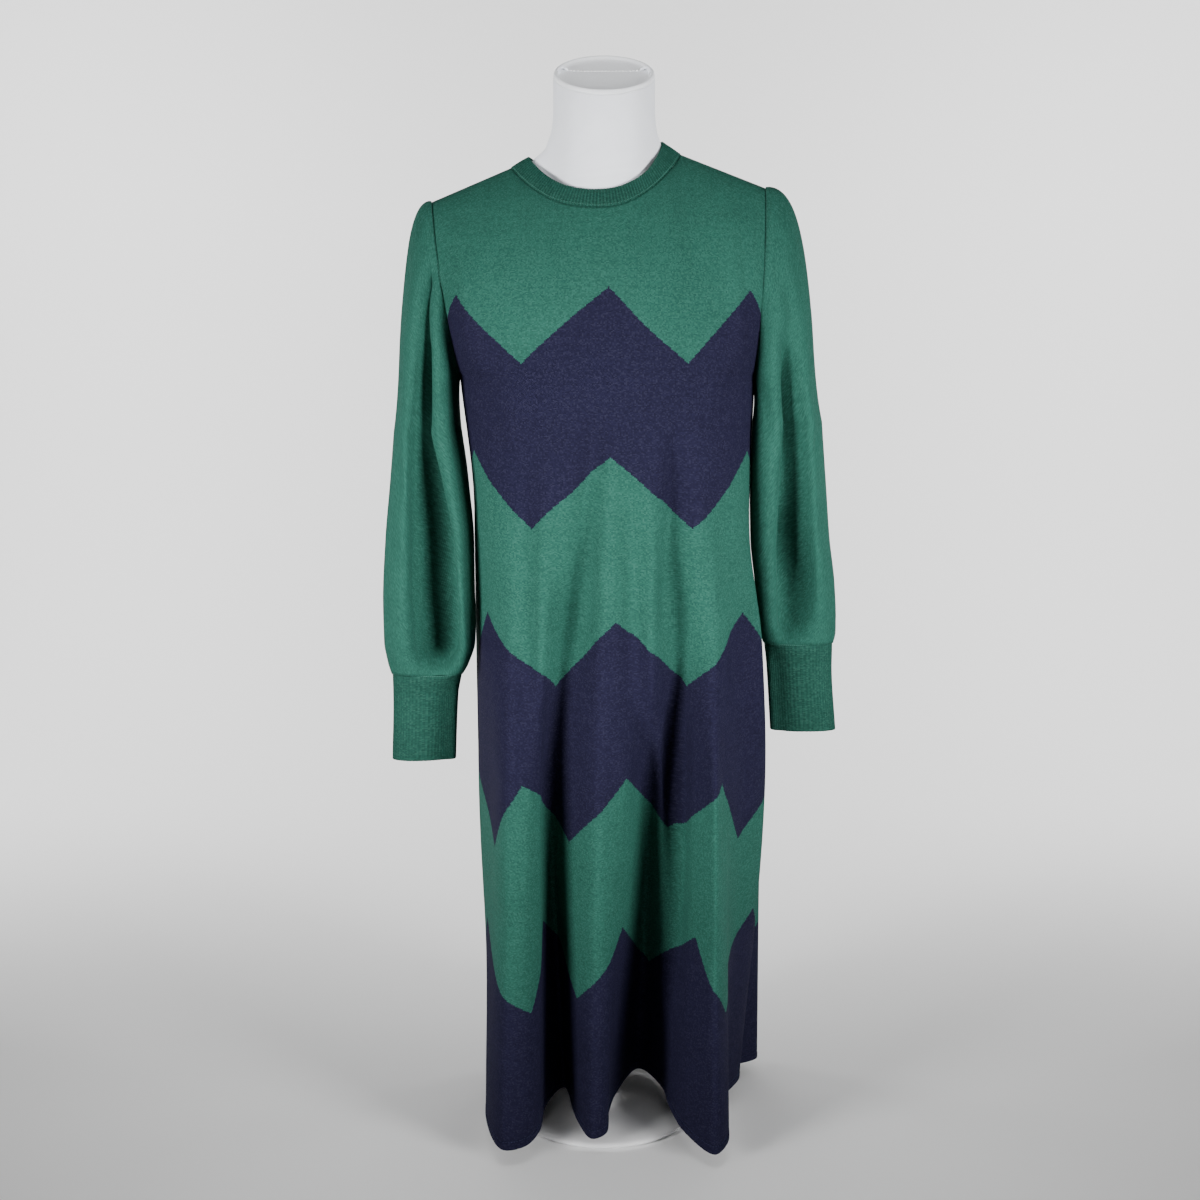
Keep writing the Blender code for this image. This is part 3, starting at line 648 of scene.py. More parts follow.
def banded(wale, course):
    """Green yarn with the navy zigzag bands, stepped from stitch to stitch."""
    zigzag = maths("ABSOLUTE", maths("FRACT", wale * (WALE / ZIGZAG_WIDTH)) - 0.5) * 2
    height = maths("MAXIMUM", course * COURSE - zigzag * ZIGZAG_HEIGHT, LOWEST_BAND)
    band = maths("FRACT", (height - LOWEST_BAND) / (2 * BAND_HEIGHT))
    navy = maths("LESS_THAN", band, 0.5) * maths("LESS_THAN", height, BANDS_TOP)
    return navy.node("ShaderNodeMix", {"data_type": "RGBA"}, {
        0: navy, 6: (*GREEN_YARN, 1), 7: (*NAVY_YARN, 1),
    }, 2)


def knitted(name, coloured, ridges=None):
    """A material of fine knit. coloured gives its yarn, and ridges the painted shade of its ribs.
    """
    made, wire = new_material(name)
    place = wire.node("ShaderNodeUVMap", {"uv_map": "knit"}, {})
    across, up = split(place)
    wale, course = maths("FLOOR", across / WALE), maths("FLOOR", up / COURSE)
    relief = stitch_relief(across, up)
    stitch = wire.node("ShaderNodeCombineXYZ", {}, {"X": wale, "Y": course})
    marl = wire.node("ShaderNodeTexWhiteNoise", {"noise_dimensions": "2D"}, {"Vector": stitch})
    rows = wire.node("ShaderNodeTexNoise", {"noise_dimensions": "1D"}, {"W": up, "Scale": 260.0})
    # The stitch relief also darkens the colour in the grooves between the legs of the stitches:
    # painted shade. Marl, rows and the cloudy noise are the yarn's own uneven tone.
    shade = 0.40 + 0.35 * relief + 0.4 * marl + 0.14 * rows + 0.2 * noise(place, 14.0)
    if ridges is not None:
        shade = shade * ridges(across)
    shaded = scaled(wire, coloured(wale, course), shade)
    lint = maths("MAXIMUM", marl - 0.7, 0.0) * 0.016
    shaded = wire.node("ShaderNodeVectorMath", {"operation": "ADD"}, {0: shaded, 1: lint})
    surfaced(wire, {
        "Base Color": shaded, "Roughness": 0.9 - 0.12 * relief,
        "Normal": bump(relief + 0.4 * marl, 0.45, 0.0004), "Specular IOR Level": 0.04,
    })
    return made


banded_knit = knitted("banded_knit", banded)
front_panel = new_object("front_panel", sheet_mesh(
    "front_panel", front_grid, front_across - front_half, front_up), banded_knit)
back_panel = new_object("back_panel", sheet_mesh(
    "back_panel", back_grid, front_half + back_from_seam, back_up), banded_knit)
for panel, node, flat, area in (
        (front_panel, "front", (1.05, 1.16), 0.747), (back_panel, "back", (0.72, 1.16), 0.59)):
    walled(panel)
    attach(panel, "root")
    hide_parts(node)


# ---- Sleeves -----------------------------------------------------------------------------
# Long set-in sleeves of the same knit in plain green, full at the forearm. Each hangs from
# its armhole in one long soft fold and is drawn in where it is linked to the cuff.
# Sleeve rings: height, x of the outer and inner side, middle y, half depth, and the place
# (a share of the way in from the outer side) and depth of the long front fold
LEFT_SLEEVE = (
    (860, -249, -170, -6, 60, 0.42, 9),
    (800, -254, -161, -13, 56, 0.50, 13),
    (730, -260, -154, -22, 50, 0.57, 17),
    (660, -263, -153.5, -28, 45, 0.62, 19),
    (610, -262, -155, -28, 40, 0.64, 17),
    (584, -257, -163, -26, 33, 0.66, 10),
    (572, -253, -170, -25, 27, 0.67, 4),
)
RIGHT_SLEEVE = (
    (870, 259, 178.5, 2, 60, 0.38, 9),
    (800, 266, 177, 10, 56, 0.42, 12),
    (730, 273, 179, 20, 50, 0.46, 13),
    (670, 281, 186, 26, 45, 0.52, 15),
    (630, 283, 190, 27, 40, 0.56, 14),
    (611, 282, 193, 26, 33, 0.58, 8),
    (600, 279, 196, 25, 28, 0.60, 3),
)
UNDERARM_LEAVE = (2.0, -24.0)
UNDERARM_ARRIVE = (-3.0, -24.0)
LEFT_CROWN_LEAVE = (36.0, 2.0)
LEFT_CROWN_ARRIVE = (15.0, -90.0)
RIGHT_CROWN_LEAVE = (56.0, 4.0)
RIGHT_CROWN_ARRIVE = (24.0, -100.0)
CAP_BULGE = 14.0
FINE_CAP_ROWS = 44
SLEEVE_STEP = 5.0
SLEEVE_POWER = 2.3
FOLD_WIDTH = 0.42
SLEEVE_HOLD_ROWS = 5
GATHERS = 17
GATHER_HEIGHT = 30.0
GATHER_DEPTH = 0.8

# Creases, with the place round the sleeve in degrees from its inner side by way of the front
# instead of x
LEFT_SLEEVE_CREASES = (
    # Drag from the underarm, the long front trough and what runs beside it
    (40, 930, 78, 800, 9, 3.4), (91, 1010, 66, 420, 18, 44.0), (110, 1110, 86, 850, 10, 15.0),
    (116, 960, 106, 640, 12, -2.6),
    # Inner slope and the press of the body, each met from both ways round
    (22, 1000, 22, 560, 14, 8.0), (382, 1000, 382, 560, 14, 8.0), (0, 830, 0, 620, 18, 1.6),
    (360, 830, 360, 620, 18, 1.6),
    # Hollow of the crown, and the outer slope
    (160, 1086, 150, 960, 14, 1.8), (138, 1000, 128, 520, 34, 7.0),
    # Breaks at the elbow, the forearm and the cuff
    (150, 850, 126, 776, 8, 2.4), (130, 720, 104, 650, 8, 2.2), (92, 640, 98, 584, 7, 2.6),
    # The outer side and the back
    (224, 880, 218, 610, 12, 6.0), (200, 800, 230, 742, 8, 2.4), (262, 1000, 280, 600, 14, 14.0),
    (222, 850, 258, 780, 9, 4.5), (246, 660, 240, 580, 8, 3.4), (330, 860, 322, 700, 9, 2.2),
)
RIGHT_SLEEVE_CREASES = (
    # Drag from the underarm, the long front trough and what runs beside it
    (36, 936, 66, 812, 9, 3.2), (91, 1000, 85, 600, 14, 34.0), (112, 1120, 96, 880, 9, 4.0),
    (80, 780, 64, 560, 12, 18.0), (30, 1020, 30, 560, 14, -5.0), (124, 980, 116, 680, 12, -2.4),
    (66, 930, 58, 670, 10, -2.2),
    # Hollow of the crown, and the outer slope
    (142, 1098, 130, 980, 14, 1.8), (138, 1000, 128, 540, 34, 7.0),
    # Breaks at the elbow, the forearm and the cuff
    (140, 866, 116, 800, 8, 2.2), (120, 740, 96, 680, 8, 2.2), (76, 668, 84, 612, 7, 2.6),
    # The outer side and the back
    (226, 920, 218, 640, 12, 5.5), (202, 830, 232, 770, 8, 2.4), (268, 1010, 284, 630, 14, 13.0),
    (226, 866, 260, 800, 9, 4.2), (250, 686, 246, 610, 8, 3.2), (332, 880, 322, 730, 9, 2.0),
)


def tube_ring(z, outer_x, inner_x, middle_y, half_depth, turns):
    """A flattened ring, turned from its inner side by way of the front."""
    across = np.cos(turns)
    deep = np.sin(turns)
    power = 2 / SLEEVE_POWER
    x = (outer_x + inner_x) / 2 + (inner_x - outer_x) / 2 * np.sign(across) * abs(across) ** power
    y = middle_y - half_depth * np.sign(deep) * abs(deep) ** power
    return np.stack((x, y, np.full_like(x, z)), axis=1)


def sleeve_ring(rows, z, turns):
    """The sleeve's ring at a height, with its one long fold pressed into the front."""
    *sizes, place, depth = row_at(rows, z)
    ring = tube_ring(z, *sizes, turns)
    fold_turn = math.acos(np.clip(2 * place - 1, -1, 1))
    ring[:, 1] += depth * np.exp(-(((turns - fold_turn) / FOLD_WIDTH) ** 2))
    return ring


def sleeve_grid(rows, loop, outward, crown_leave, crown_arrive):
    """The sleeve's rows from the armhole loop down to the cuff seam."""
    turns = np.arange(len(loop)) * 2 * math.pi / len(loop)
    raised = (1 - np.cos(turns)) / 2
    leave = np.stack((
        outward * (UNDERARM_LEAVE[0] + (crown_leave[0] - UNDERARM_LEAVE[0]) * raised),
        -CAP_BULGE * np.sin(turns),
        UNDERARM_LEAVE[1] + (crown_leave[1] - UNDERARM_LEAVE[1]) * raised,
    ), axis=1)
    arrive = np.stack((
        outward * (UNDERARM_ARRIVE[0] + (crown_arrive[0] - UNDERARM_ARRIVE[0]) * raised),
        np.zeros(len(loop)),
        UNDERARM_ARRIVE[1] + (crown_arrive[1] - UNDERARM_ARRIVE[1]) * raised,
    ), axis=1)
    high = sleeve_ring(rows, rows[0][0], turns)
    cap = [
        led_over(loop, loop + leave, high - arrive, high, t)
        for t in np.linspace(0, 1, FINE_CAP_ROWS + 1)
    ]
    steps = int((rows[0][0] - rows[-1][0]) / SLEEVE_STEP)
    tube = [
        sleeve_ring(rows, z, turns)
        for z in np.linspace(rows[0][0], rows[-1][0], steps + 1)[1:]
    ]
    return np.array(cap + tube), turns


def outward_normals(grid):
    """Unit normals of a tube of points, away from its middle, and whether they were turned."""
    rise = grid_normals(grid, closed=True)
    turned = np.sum(rise[-1] * (grid[-1] - grid[-1].mean(axis=0))) < 0
    return (-rise if turned else rise), turned


green_knit = knitted("green_knit", yarn(GREEN_YARN))
sleeve_tops = {}
for side, edge, outward, rows, leave, arrive, creases in (
        ("left", 0, -1.0, LEFT_SLEEVE, LEFT_CROWN_LEAVE, LEFT_CROWN_ARRIVE, LEFT_SLEEVE_CREASES),
        ("right", -1, 1.0, RIGHT_SLEEVE, RIGHT_CROWN_LEAVE, RIGHT_CROWN_ARRIVE,
         RIGHT_SLEEVE_CREASES)):
    loop = np.vstack((
        front_smooth[UNDERARM_ROW:, edge], back_smooth[-2:UNDERARM_ROW:-1, -1 - edge]))
    smooth, turns = sleeve_grid(rows, loop, outward, leave, arrive)
    rise, turned = outward_normals(smooth)
    row_count = len(smooth)
    from_end = np.minimum(np.arange(row_count), row_count - 1 - np.arange(row_count))
    hold = np.clip(from_end / SLEEVE_HOLD_ROWS, 0, 1)
    grid = creased_tube(smooth, rise, turns, creases, hold)
    above_cuff = np.clip((smooth[..., 2] - rows[-1][0]) / GATHER_HEIGHT, 0, 1)
    gathers = np.sin(np.pi * above_cuff) * (0.5 + 0.5 * np.cos(turns * GATHERS + np.sin(turns * 3)))
    grid -= rise * (GATHER_DEPTH * gathers * (above_cuff < 1))[..., None]
    draw_in(grid[0], grid[1], rise[0])
    draw_in(grid[-1], grid[-2], rise[-1])
    across, up = knit_places(smooth, closed=True)
    sleeve = new_object("sleeve_" + side + "_knit", sheet_mesh(
        "sleeve_" + side + "_knit", grid, across, up, closed=True, flip=not turned), green_knit)
    walled(sleeve)
    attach(sleeve, "root")
    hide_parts("sleeve_" + side)
    sleeve_tops[side] = (smooth, rise)


# ---- Cuffs -------------------------------------------------------------------------------
# Tall cuffs in a fine one-and-one rib of the green yarn, close at the wrist, each knitted
# as a band and linked to the gathered end of its sleeve. The free edge is rounded.
LEFT_CUFF = (
    (571.7, -253, -170, -25, 25),
    (545, -253, -174, -24, 19),
    (466, -255.5, -178, -24, 16),
)
RIGHT_CUFF = (
    (599.7, 279, 196, 25, 26),
    (574, 279, 199, 24, 19),
    (491, 285, 205, 23, 16),
)
CUFF_RIBS = 58
CUFF_POINTS = 8 * CUFF_RIBS
CUFF_HOLD_ROWS = 6
CUFF_ROW_STEP = 3.5
CUFF_WALL = 2.1
EDGE_ROUND = 5
CUFF_RIB_HEIGHT = 0.22
# Creases by which the sleeve's folds go on softly into the cuff
CUFF_FOLDS = {
    "left": (
        (52, 700, 48, 380, 30, 7.0), (412, 700, 408, 380, 30, 7.0), (262, 680, 268, 380, 16, 4.0),
    ),
    "right": ((44, 740, 46, 400, 16, 3.0), (270, 700, 262, 400, 16, 4.0)),
}


def node_tree(name, inputs):
    """A Geometry Nodes tree with named inputs, and the wires that come from them."""
    tree = bpy.data.node_groups.new(name, "GeometryNodeTree")
    tree.interface.new_socket("Geometry", in_out="INPUT", socket_type="NodeSocketGeometry")
    for label, kind in inputs:
        tree.interface.new_socket(label, in_out="INPUT", socket_type=kind)
    tree.interface.new_socket("Geometry", in_out="OUTPUT", socket_type="NodeSocketGeometry")
    start = tree.nodes.new("NodeGroupInput")
    return tree, {socket.name: Wire(tree, socket) for socket in start.outputs if socket.name}


def painted(geometry, material):
    """A geometry with its instances made real and a material on it."""
    real = geometry.node("GeometryNodeRealizeInstances", {}, {"Geometry": geometry})
    return real.node("GeometryNodeSetMaterial", {}, {"Geometry": real, "Material": material})


def grown(piece, tree, values):
    """Runs a Geometry Nodes tree on a piece and keeps the result as its plain mesh."""
    modifier = piece.modifiers.new(tree.name, "NODES")
    modifier.node_group = tree
    for item in tree.interface.items_tree:
        if item.item_type == "SOCKET" and item.in_out == "INPUT" and item.name in values:
            modifier[item.identifier] = values[item.name]
    settled = bpy.context.evaluated_depsgraph_get()
    mesh = bpy.data.meshes.new_from_object(piece.evaluated_get(settled), depsgraph=settled)
    piece.modifiers.clear()
    piece.data = mesh
    mesh.shade_smooth()


rib_tree, rib_in = node_tree("ribbing", (
    ("Ribs", "NodeSocketFloat"), ("Rib Height", "NodeSocketFloat"),
    ("Material", "NodeSocketMaterial")))
rib_wire = rib_in["Ribs"]
round_share, held_share = (
    rib_wire.node("GeometryNodeInputNamedAttribute", {"data_type": "FLOAT"}, {"Name": label})
    for label in ("around", "ribbed"))
rib_wave = maths("COSINE", round_share * rib_in["Ribs"] * math.tau) * 0.5 + 0.5
rib_push = scaled(
    rib_wire, rib_wire.node("GeometryNodeInputNormal", {}, {}),
    rib_wave * rib_in["Rib Height"] * held_share)
rib_set = rib_wire.node(
    "GeometryNodeSetPosition", {}, {"Geometry": rib_in["Geometry"], "Offset": rib_push})
rib_wire.node("NodeGroupOutput", {}, {"Geometry": painted(rib_set, rib_in["Material"])})


def painted_rib_shade(pitch, dark, light):
    """Painted shade of ribs: lighter ridges and darker channels, pitch metres apart, for knitted().
    """
    return lambda across: (
        maths("COSINE", across / pitch * math.tau) * ((light - dark) / 2) + (light + dark) / 2)


def ribbed_band(name, outer, rise, wall, ribs, rib_height, mean_round, material):
    """A closed band of ribbed knit: outer face, rounded free edge and inner face."""
    onward = unit(outer[-1] - outer[-2])
    middle = outer[-1] - rise[-1] * wall / 2
    rolled = [
        middle + (rise[-1] * math.cos(turn) + onward * math.sin(turn)) * wall / 2
        for turn in np.linspace(0, math.pi, EDGE_ROUND + 2)[1:-1]
    ]
    inner = (outer - rise * wall)[::-1]
    grid = np.concatenate((outer, rolled, inner))
    ribbed = np.concatenate((
        np.ones(len(outer)), np.linspace(0.8, 0.4, len(rolled)), np.full(len(inner), 0.3)))
    ribbed[0] = 0.15
    grid = np.concatenate((grid, grid[:1]))
    count = grid.shape[1]
    _, up = knit_places(grid, closed=True)
    across = np.broadcast_to(np.arange(count + 1) / count * mean_round, up.shape)
    facing = unit(np.cross(np.roll(outer, -1, axis=1) - outer, np.gradient(outer, axis=0)))
    mesh = sheet_mesh(name, grid, across, up, closed=True, flip=np.sum(facing * rise) < 0)
    ribbed = np.concatenate((ribbed, ribbed[:1]))
    for label, values in (("around", np.arange(count) / count), ("ribbed", ribbed[:, None])):
        mesh.attributes.new(label, "FLOAT", "POINT").data.foreach_set(
            "value", np.broadcast_to(values, grid.shape[:2]).ravel())
    welded(mesh)
    band = new_object(name, mesh, material)
    grown(band, rib_tree, {
        "Ribs": float(ribs), "Rib Height": rib_height * MM, "Material": material,
    })
    return band


CUFF_ROUND = 0.181
# The cuffs' rib shade runs from 0.66 to 0.78, which darkens the whole cuff and its channels:
# painted shade
cuff_knit = knitted("cuff_knit", yarn(GREEN_YARN), painted_rib_shade(CUFF_ROUND / CUFF_RIBS, 0.66, 0.78))
cuff_tops = {}
for side, rows in (("left", LEFT_CUFF), ("right", RIGHT_CUFF)):
    turns = np.arange(CUFF_POINTS) * math.tau / CUFF_POINTS
    top, foot = rows[0][0], rows[-1][0]
    heights = np.linspace(top, foot, int((top - foot) / CUFF_ROW_STEP))
    outer = np.array([tube_ring(z, *row_at(rows, z), turns) for z in heights])
    rise, _ = outward_normals(outer)
    rise[..., 2] = 0
    rise = unit(rise)
    hold = np.clip(np.arange(len(outer)) / CUFF_HOLD_ROWS, 0, 1)
    outer = creased_tube(outer, rise, turns, CUFF_FOLDS[side], hold)
    cuff = ribbed_band("cuff_" + side + "_rib", outer, rise, CUFF_WALL, CUFF_RIBS,
                       CUFF_RIB_HEIGHT, CUFF_ROUND / MM, cuff_knit)
    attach(cuff, "root")
    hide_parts("cuff_" + side)
    "sleeve_" + side + "_knit"
    cuff_tops[side] = (outer[0], rise[0])


# ---- Neckband ----------------------------------------------------------------------------
# A narrow crew band in the same rib with bolder ridges, folded double and linked round the
# neckline. It stands a little proud of the panels and its folded edge is round.
BAND_TOP = (
    (-88, 2, 1175), (-68, -32, 1154), (-44, -53, 1141), (-16, -62, 1136), (15, -60, 1139),
    (44, -47, 1153), (61, -25, 1174), (68, 2, 1192), (60, 28, 1188), (34, 49, 1178),
    (-6, 57, 1171), (-48, 50, 1167), (-76, 28, 1170),
)
BAND_RIBS = 138
BAND_POINTS = 8 * BAND_RIBS
BAND_ROWS = 12
BAND_WALL = 1.7
BAND_CROWN = 0.5
BAND_RIB_HEIGHT = 0.45
BAND_ROUND = 0.54


neck_seam = np.vstack((
    front_smooth[-1, shoulders[0]:front_smooth.shape[1] - shoulders[1]][:-1],
    back_smooth[-1, shoulders[1]:back_smooth.shape[1] - shoulders[0]],
))
neck_shares = np.arange(BAND_POINTS) / BAND_POINTS
band_seam = along(neck_seam, neck_shares)
band_edge = along(smooth_line(BAND_TOP, closed=True), neck_shares)
band_shares = np.linspace(0, 1, BAND_ROWS)[:, None, None]
band_flat = band_seam * (1 - band_shares) + band_edge * band_shares
band_rise = grid_normals(band_flat, closed=True)
if band_rise[..., 2].sum() < 0:
    band_rise = -band_rise
band_outer = band_flat + band_rise * BAND_CROWN * np.sin(math.pi * band_shares)
# The neckband's ribs get lighter ridges and darker channels: painted shade
neck_knit = knitted("neck_knit", yarn(GREEN_YARN), painted_rib_shade(BAND_ROUND / BAND_RIBS, 0.6, 0.98))
neckband = ribbed_band("neckband_rib", band_outer, band_rise, BAND_WALL, BAND_RIBS,
                       BAND_RIB_HEIGHT, BAND_ROUND / MM, neck_knit)
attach(neckband, "root")
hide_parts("neckband")


# ---- Seam stitches -----------------------------------------------------------------------
# The pieces are linked loop by loop with a finer end of the same yarn. It shows as a row of
# small slanting stitches round the neckline, the armholes and the cuffs, and along the hem.
THREAD_GREEN = (0.050, 0.150, 0.115)
THREAD_NAVY = (0.024, 0.030, 0.070)
# Rows of stitches: how far off the cloth, pitch, length, width, slant in degrees, and the
# radius and depth of the cord under them
NECKLINE_STITCH = (0.45, 1.95, 1.7, 0.55, 62, 0.7, 1.0)
ARMHOLE_STITCH = (0.4, 4.2, 2.4, 0.6, 35, 0.75, 0.45)
CUFF_STITCH = (0.35, 2.6, 2.2, 0.5, 12, 0.7, 0.8)
HEM_STITCH = (0.2, 3.4, 2.6, 0.5, 8, 0.15, 0.6)
STITCH_SIDES = 6
STITCH_RINGS = 4
CORD_SIDES = 6

stitch_tree, stitch_in = node_tree("linking_stitches", (
    ("Pitch", "NodeSocketFloat"), ("Length", "NodeSocketFloat"), ("Width", "NodeSocketFloat"),
    ("Slant", "NodeSocketFloat"), ("Cord Radius", "NodeSocketFloat"),
    ("Cord Depth", "NodeSocketFloat"), ("Material", "NodeSocketMaterial"),
    ("Cord Material", "NodeSocketMaterial")))
grow = stitch_in["Pitch"].node
seam_curve = grow("GeometryNodeMeshToCurve", {}, {"Mesh": stitch_in["Geometry"]})
seam_points = grow("GeometryNodeResampleCurve", {"mode": "LENGTH"}, {
    "Curve": seam_curve, "Length": stitch_in["Pitch"],
})
stitch_ball = grow("GeometryNodeMeshUVSphere", {}, {
    "Segments": STITCH_SIDES, "Rings": STITCH_RINGS, "Radius": 0.5,
}, "Mesh")
stitch_size = grow("ShaderNodeCombineXYZ", {}, {
    "X": stitch_in["Length"], "Y": stitch_in["Width"], "Z": stitch_in["Width"],
})
off_cloth = grow("GeometryNodeInputNamedAttribute", {"data_type": "FLOAT_VECTOR"}, {
    "Name": "off_cloth",
})
laid = grow("FunctionNodeAlignRotationToVector", {"axis": "Z"}, {"Vector": off_cloth})
laid = grow("FunctionNodeAlignRotationToVector", {"axis": "X", "pivot_axis": "Z"}, {
    "Rotation": laid, "Vector": grow("GeometryNodeInputTangent", {}, {}),
})
slant = grow("FunctionNodeAxisAngleToRotation", {}, {
    "Axis": (0, 0, 1), "Angle": stitch_in["Slant"],
})
laid = grow("FunctionNodeRotateRotation", {"rotation_space": "LOCAL"}, {
    "Rotation": laid, "Rotate By": slant,
})
stitches = grow("GeometryNodeInstanceOnPoints", {}, {
    "Points": seam_points, "Instance": stitch_ball, "Rotation": laid, "Scale": stitch_size,
})
cord_section = grow("GeometryNodeCurvePrimitiveCircle", {"mode": "RADIUS"}, {
    "Resolution": CORD_SIDES, "Radius": stitch_in["Cord Radius"],
}, "Curve")
seam_cord = grow("GeometryNodeCurveToMesh", {}, {
    "Curve": seam_curve, "Profile Curve": cord_section, "Fill Caps": True,
})
sunk = scaled(stitch_in["Pitch"], off_cloth, stitch_in["Cord Depth"] * -1)
seam_cord = grow("GeometryNodeSetPosition", {}, {"Geometry": seam_cord, "Offset": sunk})
both = grow("GeometryNodeJoinGeometry", {}, {})
for part in (painted(stitches, stitch_in["Material"]),
             painted(seam_cord, stitch_in["Cord Material"])):
    stitch_tree.links.new(part.socket, both.socket.node.inputs[0])
grow("NodeGroupOutput", {}, {"Geometry": both})


def thread(name, colour):
    """A material of twisted yarn, a little uneven in shade."""
    made, wire = new_material(name)
    place = wire.node("ShaderNodeTexCoord", {}, {}, "Object")
    twist = noise(place, 900.0)
    surfaced(wire, {
        "Base Color": scaled(wire, colour, 0.7 + 0.6 * twist), "Roughness": 0.85 + 0.1 * twist,
        "Specular IOR Level": 0.15,
    })
    return made


def stitched(name, path, off_cloth_of, closed, sizes, material, cord_material):
    """A row of stitches along a path, over the cord of loops that they hold together."""
    lift, pitch, length, width, slant_turn, cord_radius, cord_depth = sizes
    count = len(path)
    edges = [(k, (k + 1) % count) for k in range(count if closed else count - 1)]
    mesh = bpy.data.meshes.new(name)
    mesh.from_pydata(((path + off_cloth_of * lift) * MM).tolist(), edges, [])
    mesh.attributes.new("off_cloth", "FLOAT_VECTOR", "POINT").data.foreach_set(
        "vector", off_cloth_of.ravel())
    row = new_object(name, mesh)
    grown(row, stitch_tree, {
        "Pitch": pitch * MM, "Length": length * MM, "Width": width * MM,
        "Slant": math.radians(slant_turn), "Material": material,
        "Cord Radius": cord_radius * MM, "Cord Depth": cord_depth * MM,
        "Cord Material": cord_material,
    })
    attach(row, "root")


green_thread = thread("green_thread", THREAD_GREEN)
seam_yarn = thread("seam_yarn", GREEN_YARN)
navy_thread = thread("navy_thread", THREAD_NAVY)
stitched("neckline_stitches", band_outer[1], band_rise[1], True, NECKLINE_STITCH,
         green_thread, seam_yarn)
for side, (grid, rise) in sleeve_tops.items():
    stitched("armhole_stitches_" + side, grid[0], rise[0], True, ARMHOLE_STITCH,
             green_thread, seam_yarn)
for side, (ring, rise) in cuff_tops.items():
    stitched("cuff_stitches_" + side, ring, rise, True, CUFF_STITCH, green_thread, seam_yarn)
for name, grid, rise in (("front", front_grid, front_rise), ("back", back_grid, back_rise)):
    row = HEM_ROWS.index(HEM_STITCH_Z)
    stitched("hem_stitches_" + name, grid[row, 1:-1], rise[row, 1:-1], False, HEM_STITCH,
             navy_thread, navy_thread)


# ---- Dress form --------------------------------------------------------------------------
# A limbless shop form: a hollow torso and neck under a tight cover of white jersey. Only
# the neck and the start of the shoulders show above the neckband.
# Rings: height, half width, shoulder, y of the front and of the back, lean
FORM_RINGS = (
    (660, 84, 0, -58, 54, 0), (664, 104, 0, -72, 66, 0), (676, 118, 0, -80, 74, 0),
    (705, 128, 0, -86, 82, 0), (745, 126, 0, -88, 82, 0), (800, 124, 0, -94, 82, 0),
    (860, 142, 0, -108, 90, 0), (925, 156, 0, -115, 97, 0), (980, 162, 0, -112, 97, 0),
    (1035, 162, 4, -101, 90, 0), (1080, 150, 16, -84, 78, 0), (1110, 120, 47, -71, 66, 0),
    (1128, 92, 75, -62, 58, 0), (1136, 80, 83, -57.5, 54, 0), (1142.3, 72, 76, -56.5, 52, 0),
    (1151, 65, 59, -54, 51, 0), (1160, 62, 37, -53, 50, 0), (1168, 61, 25, -52, 50, 0),
    (1175, 60.5, 18, -52, 50, 0), (1183, 60, 9, -51, 50, 0), (1193, 60, 4.5, -50, 50, 0.03),
    (1206, 59.5, 1, -50, 50, 0.09), (1228, 58.5, 0, -50, 50, 0.26), (1260, 58.5, 0, -50, 50, 0.5),
    (1265, 58.2, 0, -49.7, 49.7, 0.5),
)
SHOULDER_POWER = 22
FORM_SIDES = 120
FORM_STEP = 4.0
JERSEY_WHITE = (0.86, 0.88, 0.93)
# The width of a wale of the jersey, in metres
JERSEY_WALE = 0.0011
# The neck top's white, lighter than the cover's: painted light on its upward face
CAP_WHITE_PAINTED_LIGHT = (0.95, 0.97, 1.0)


def form_ring(z, half_width, shoulder, front, back, lean, turns):
    """An oval ring of the form, drawn out at both sides where the shoulders are."""
    across = np.cos(turns)
    deep = np.sin(turns)
    x = (half_width + shoulder * abs(across) ** SHOULDER_POWER) * across
    y = np.where(deep < 0, -deep * front, deep * back)
    return np.stack((x, y, z + lean * y), axis=1)


def closed_lathe(name, grid, material):
    """A closed solid through rings of points, with both ends drawn to their middles."""
    ends = [np.broadcast_to(grid[k].mean(axis=0), grid[k].shape) for k in (0, -1)]
    grid = np.concatenate((ends[:1], grid, ends[1:]))
    across, up = knit_places(grid, closed=True)
    facing = unit(np.cross(np.roll(grid, -1, axis=1) - grid, np.gradient(grid, axis=0)))
    outwards = grid - grid.mean(axis=1, keepdims=True)
    flip = np.sum(facing[1:-1] * outwards[1:-1]) < 0
    mesh = sheet_mesh(name, grid, across, up, closed=True, flip=flip)
    welded(mesh)
    mesh.shade_smooth()
    return new_object(name, mesh, material)


def jersey(name, colour):
    """A material of fine white jersey: faint upright wales and soft uneven shade."""
    made, wire = new_material(name)
    place = wire.node("ShaderNodeUVMap", {"uv_map": "knit"}, {})
    across, up = split(place)
    wale = maths("SINE", across * (math.tau / JERSEY_WALE))
    grain = noise(place, 900.0)
    surfaced(wire, {
        "Base Color": scaled(wire, colour, 0.9 + 0.12 * noise(place, 25.0, 4.0) + 0.06 * grain),
        "Roughness": 0.75 + 0.1 * grain, "Normal": bump(0.5 * wale + grain, 0.25, 0.0002),
    })
    return made


white_jersey = jersey("white_jersey", JERSEY_WHITE)
form_turns = np.arange(FORM_SIDES) * math.tau / FORM_SIDES
form_foot, form_top = FORM_RINGS[0][0], FORM_RINGS[-1][0]
form_rows = np.array([
    form_ring(z, *row_at(FORM_RINGS, z), form_turns)
    for z in (*np.arange(form_foot, form_top, FORM_STEP), form_top)
])
cover = closed_lathe("form_cover", form_rows, white_jersey)
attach(cover, "root")
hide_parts("form_torso")
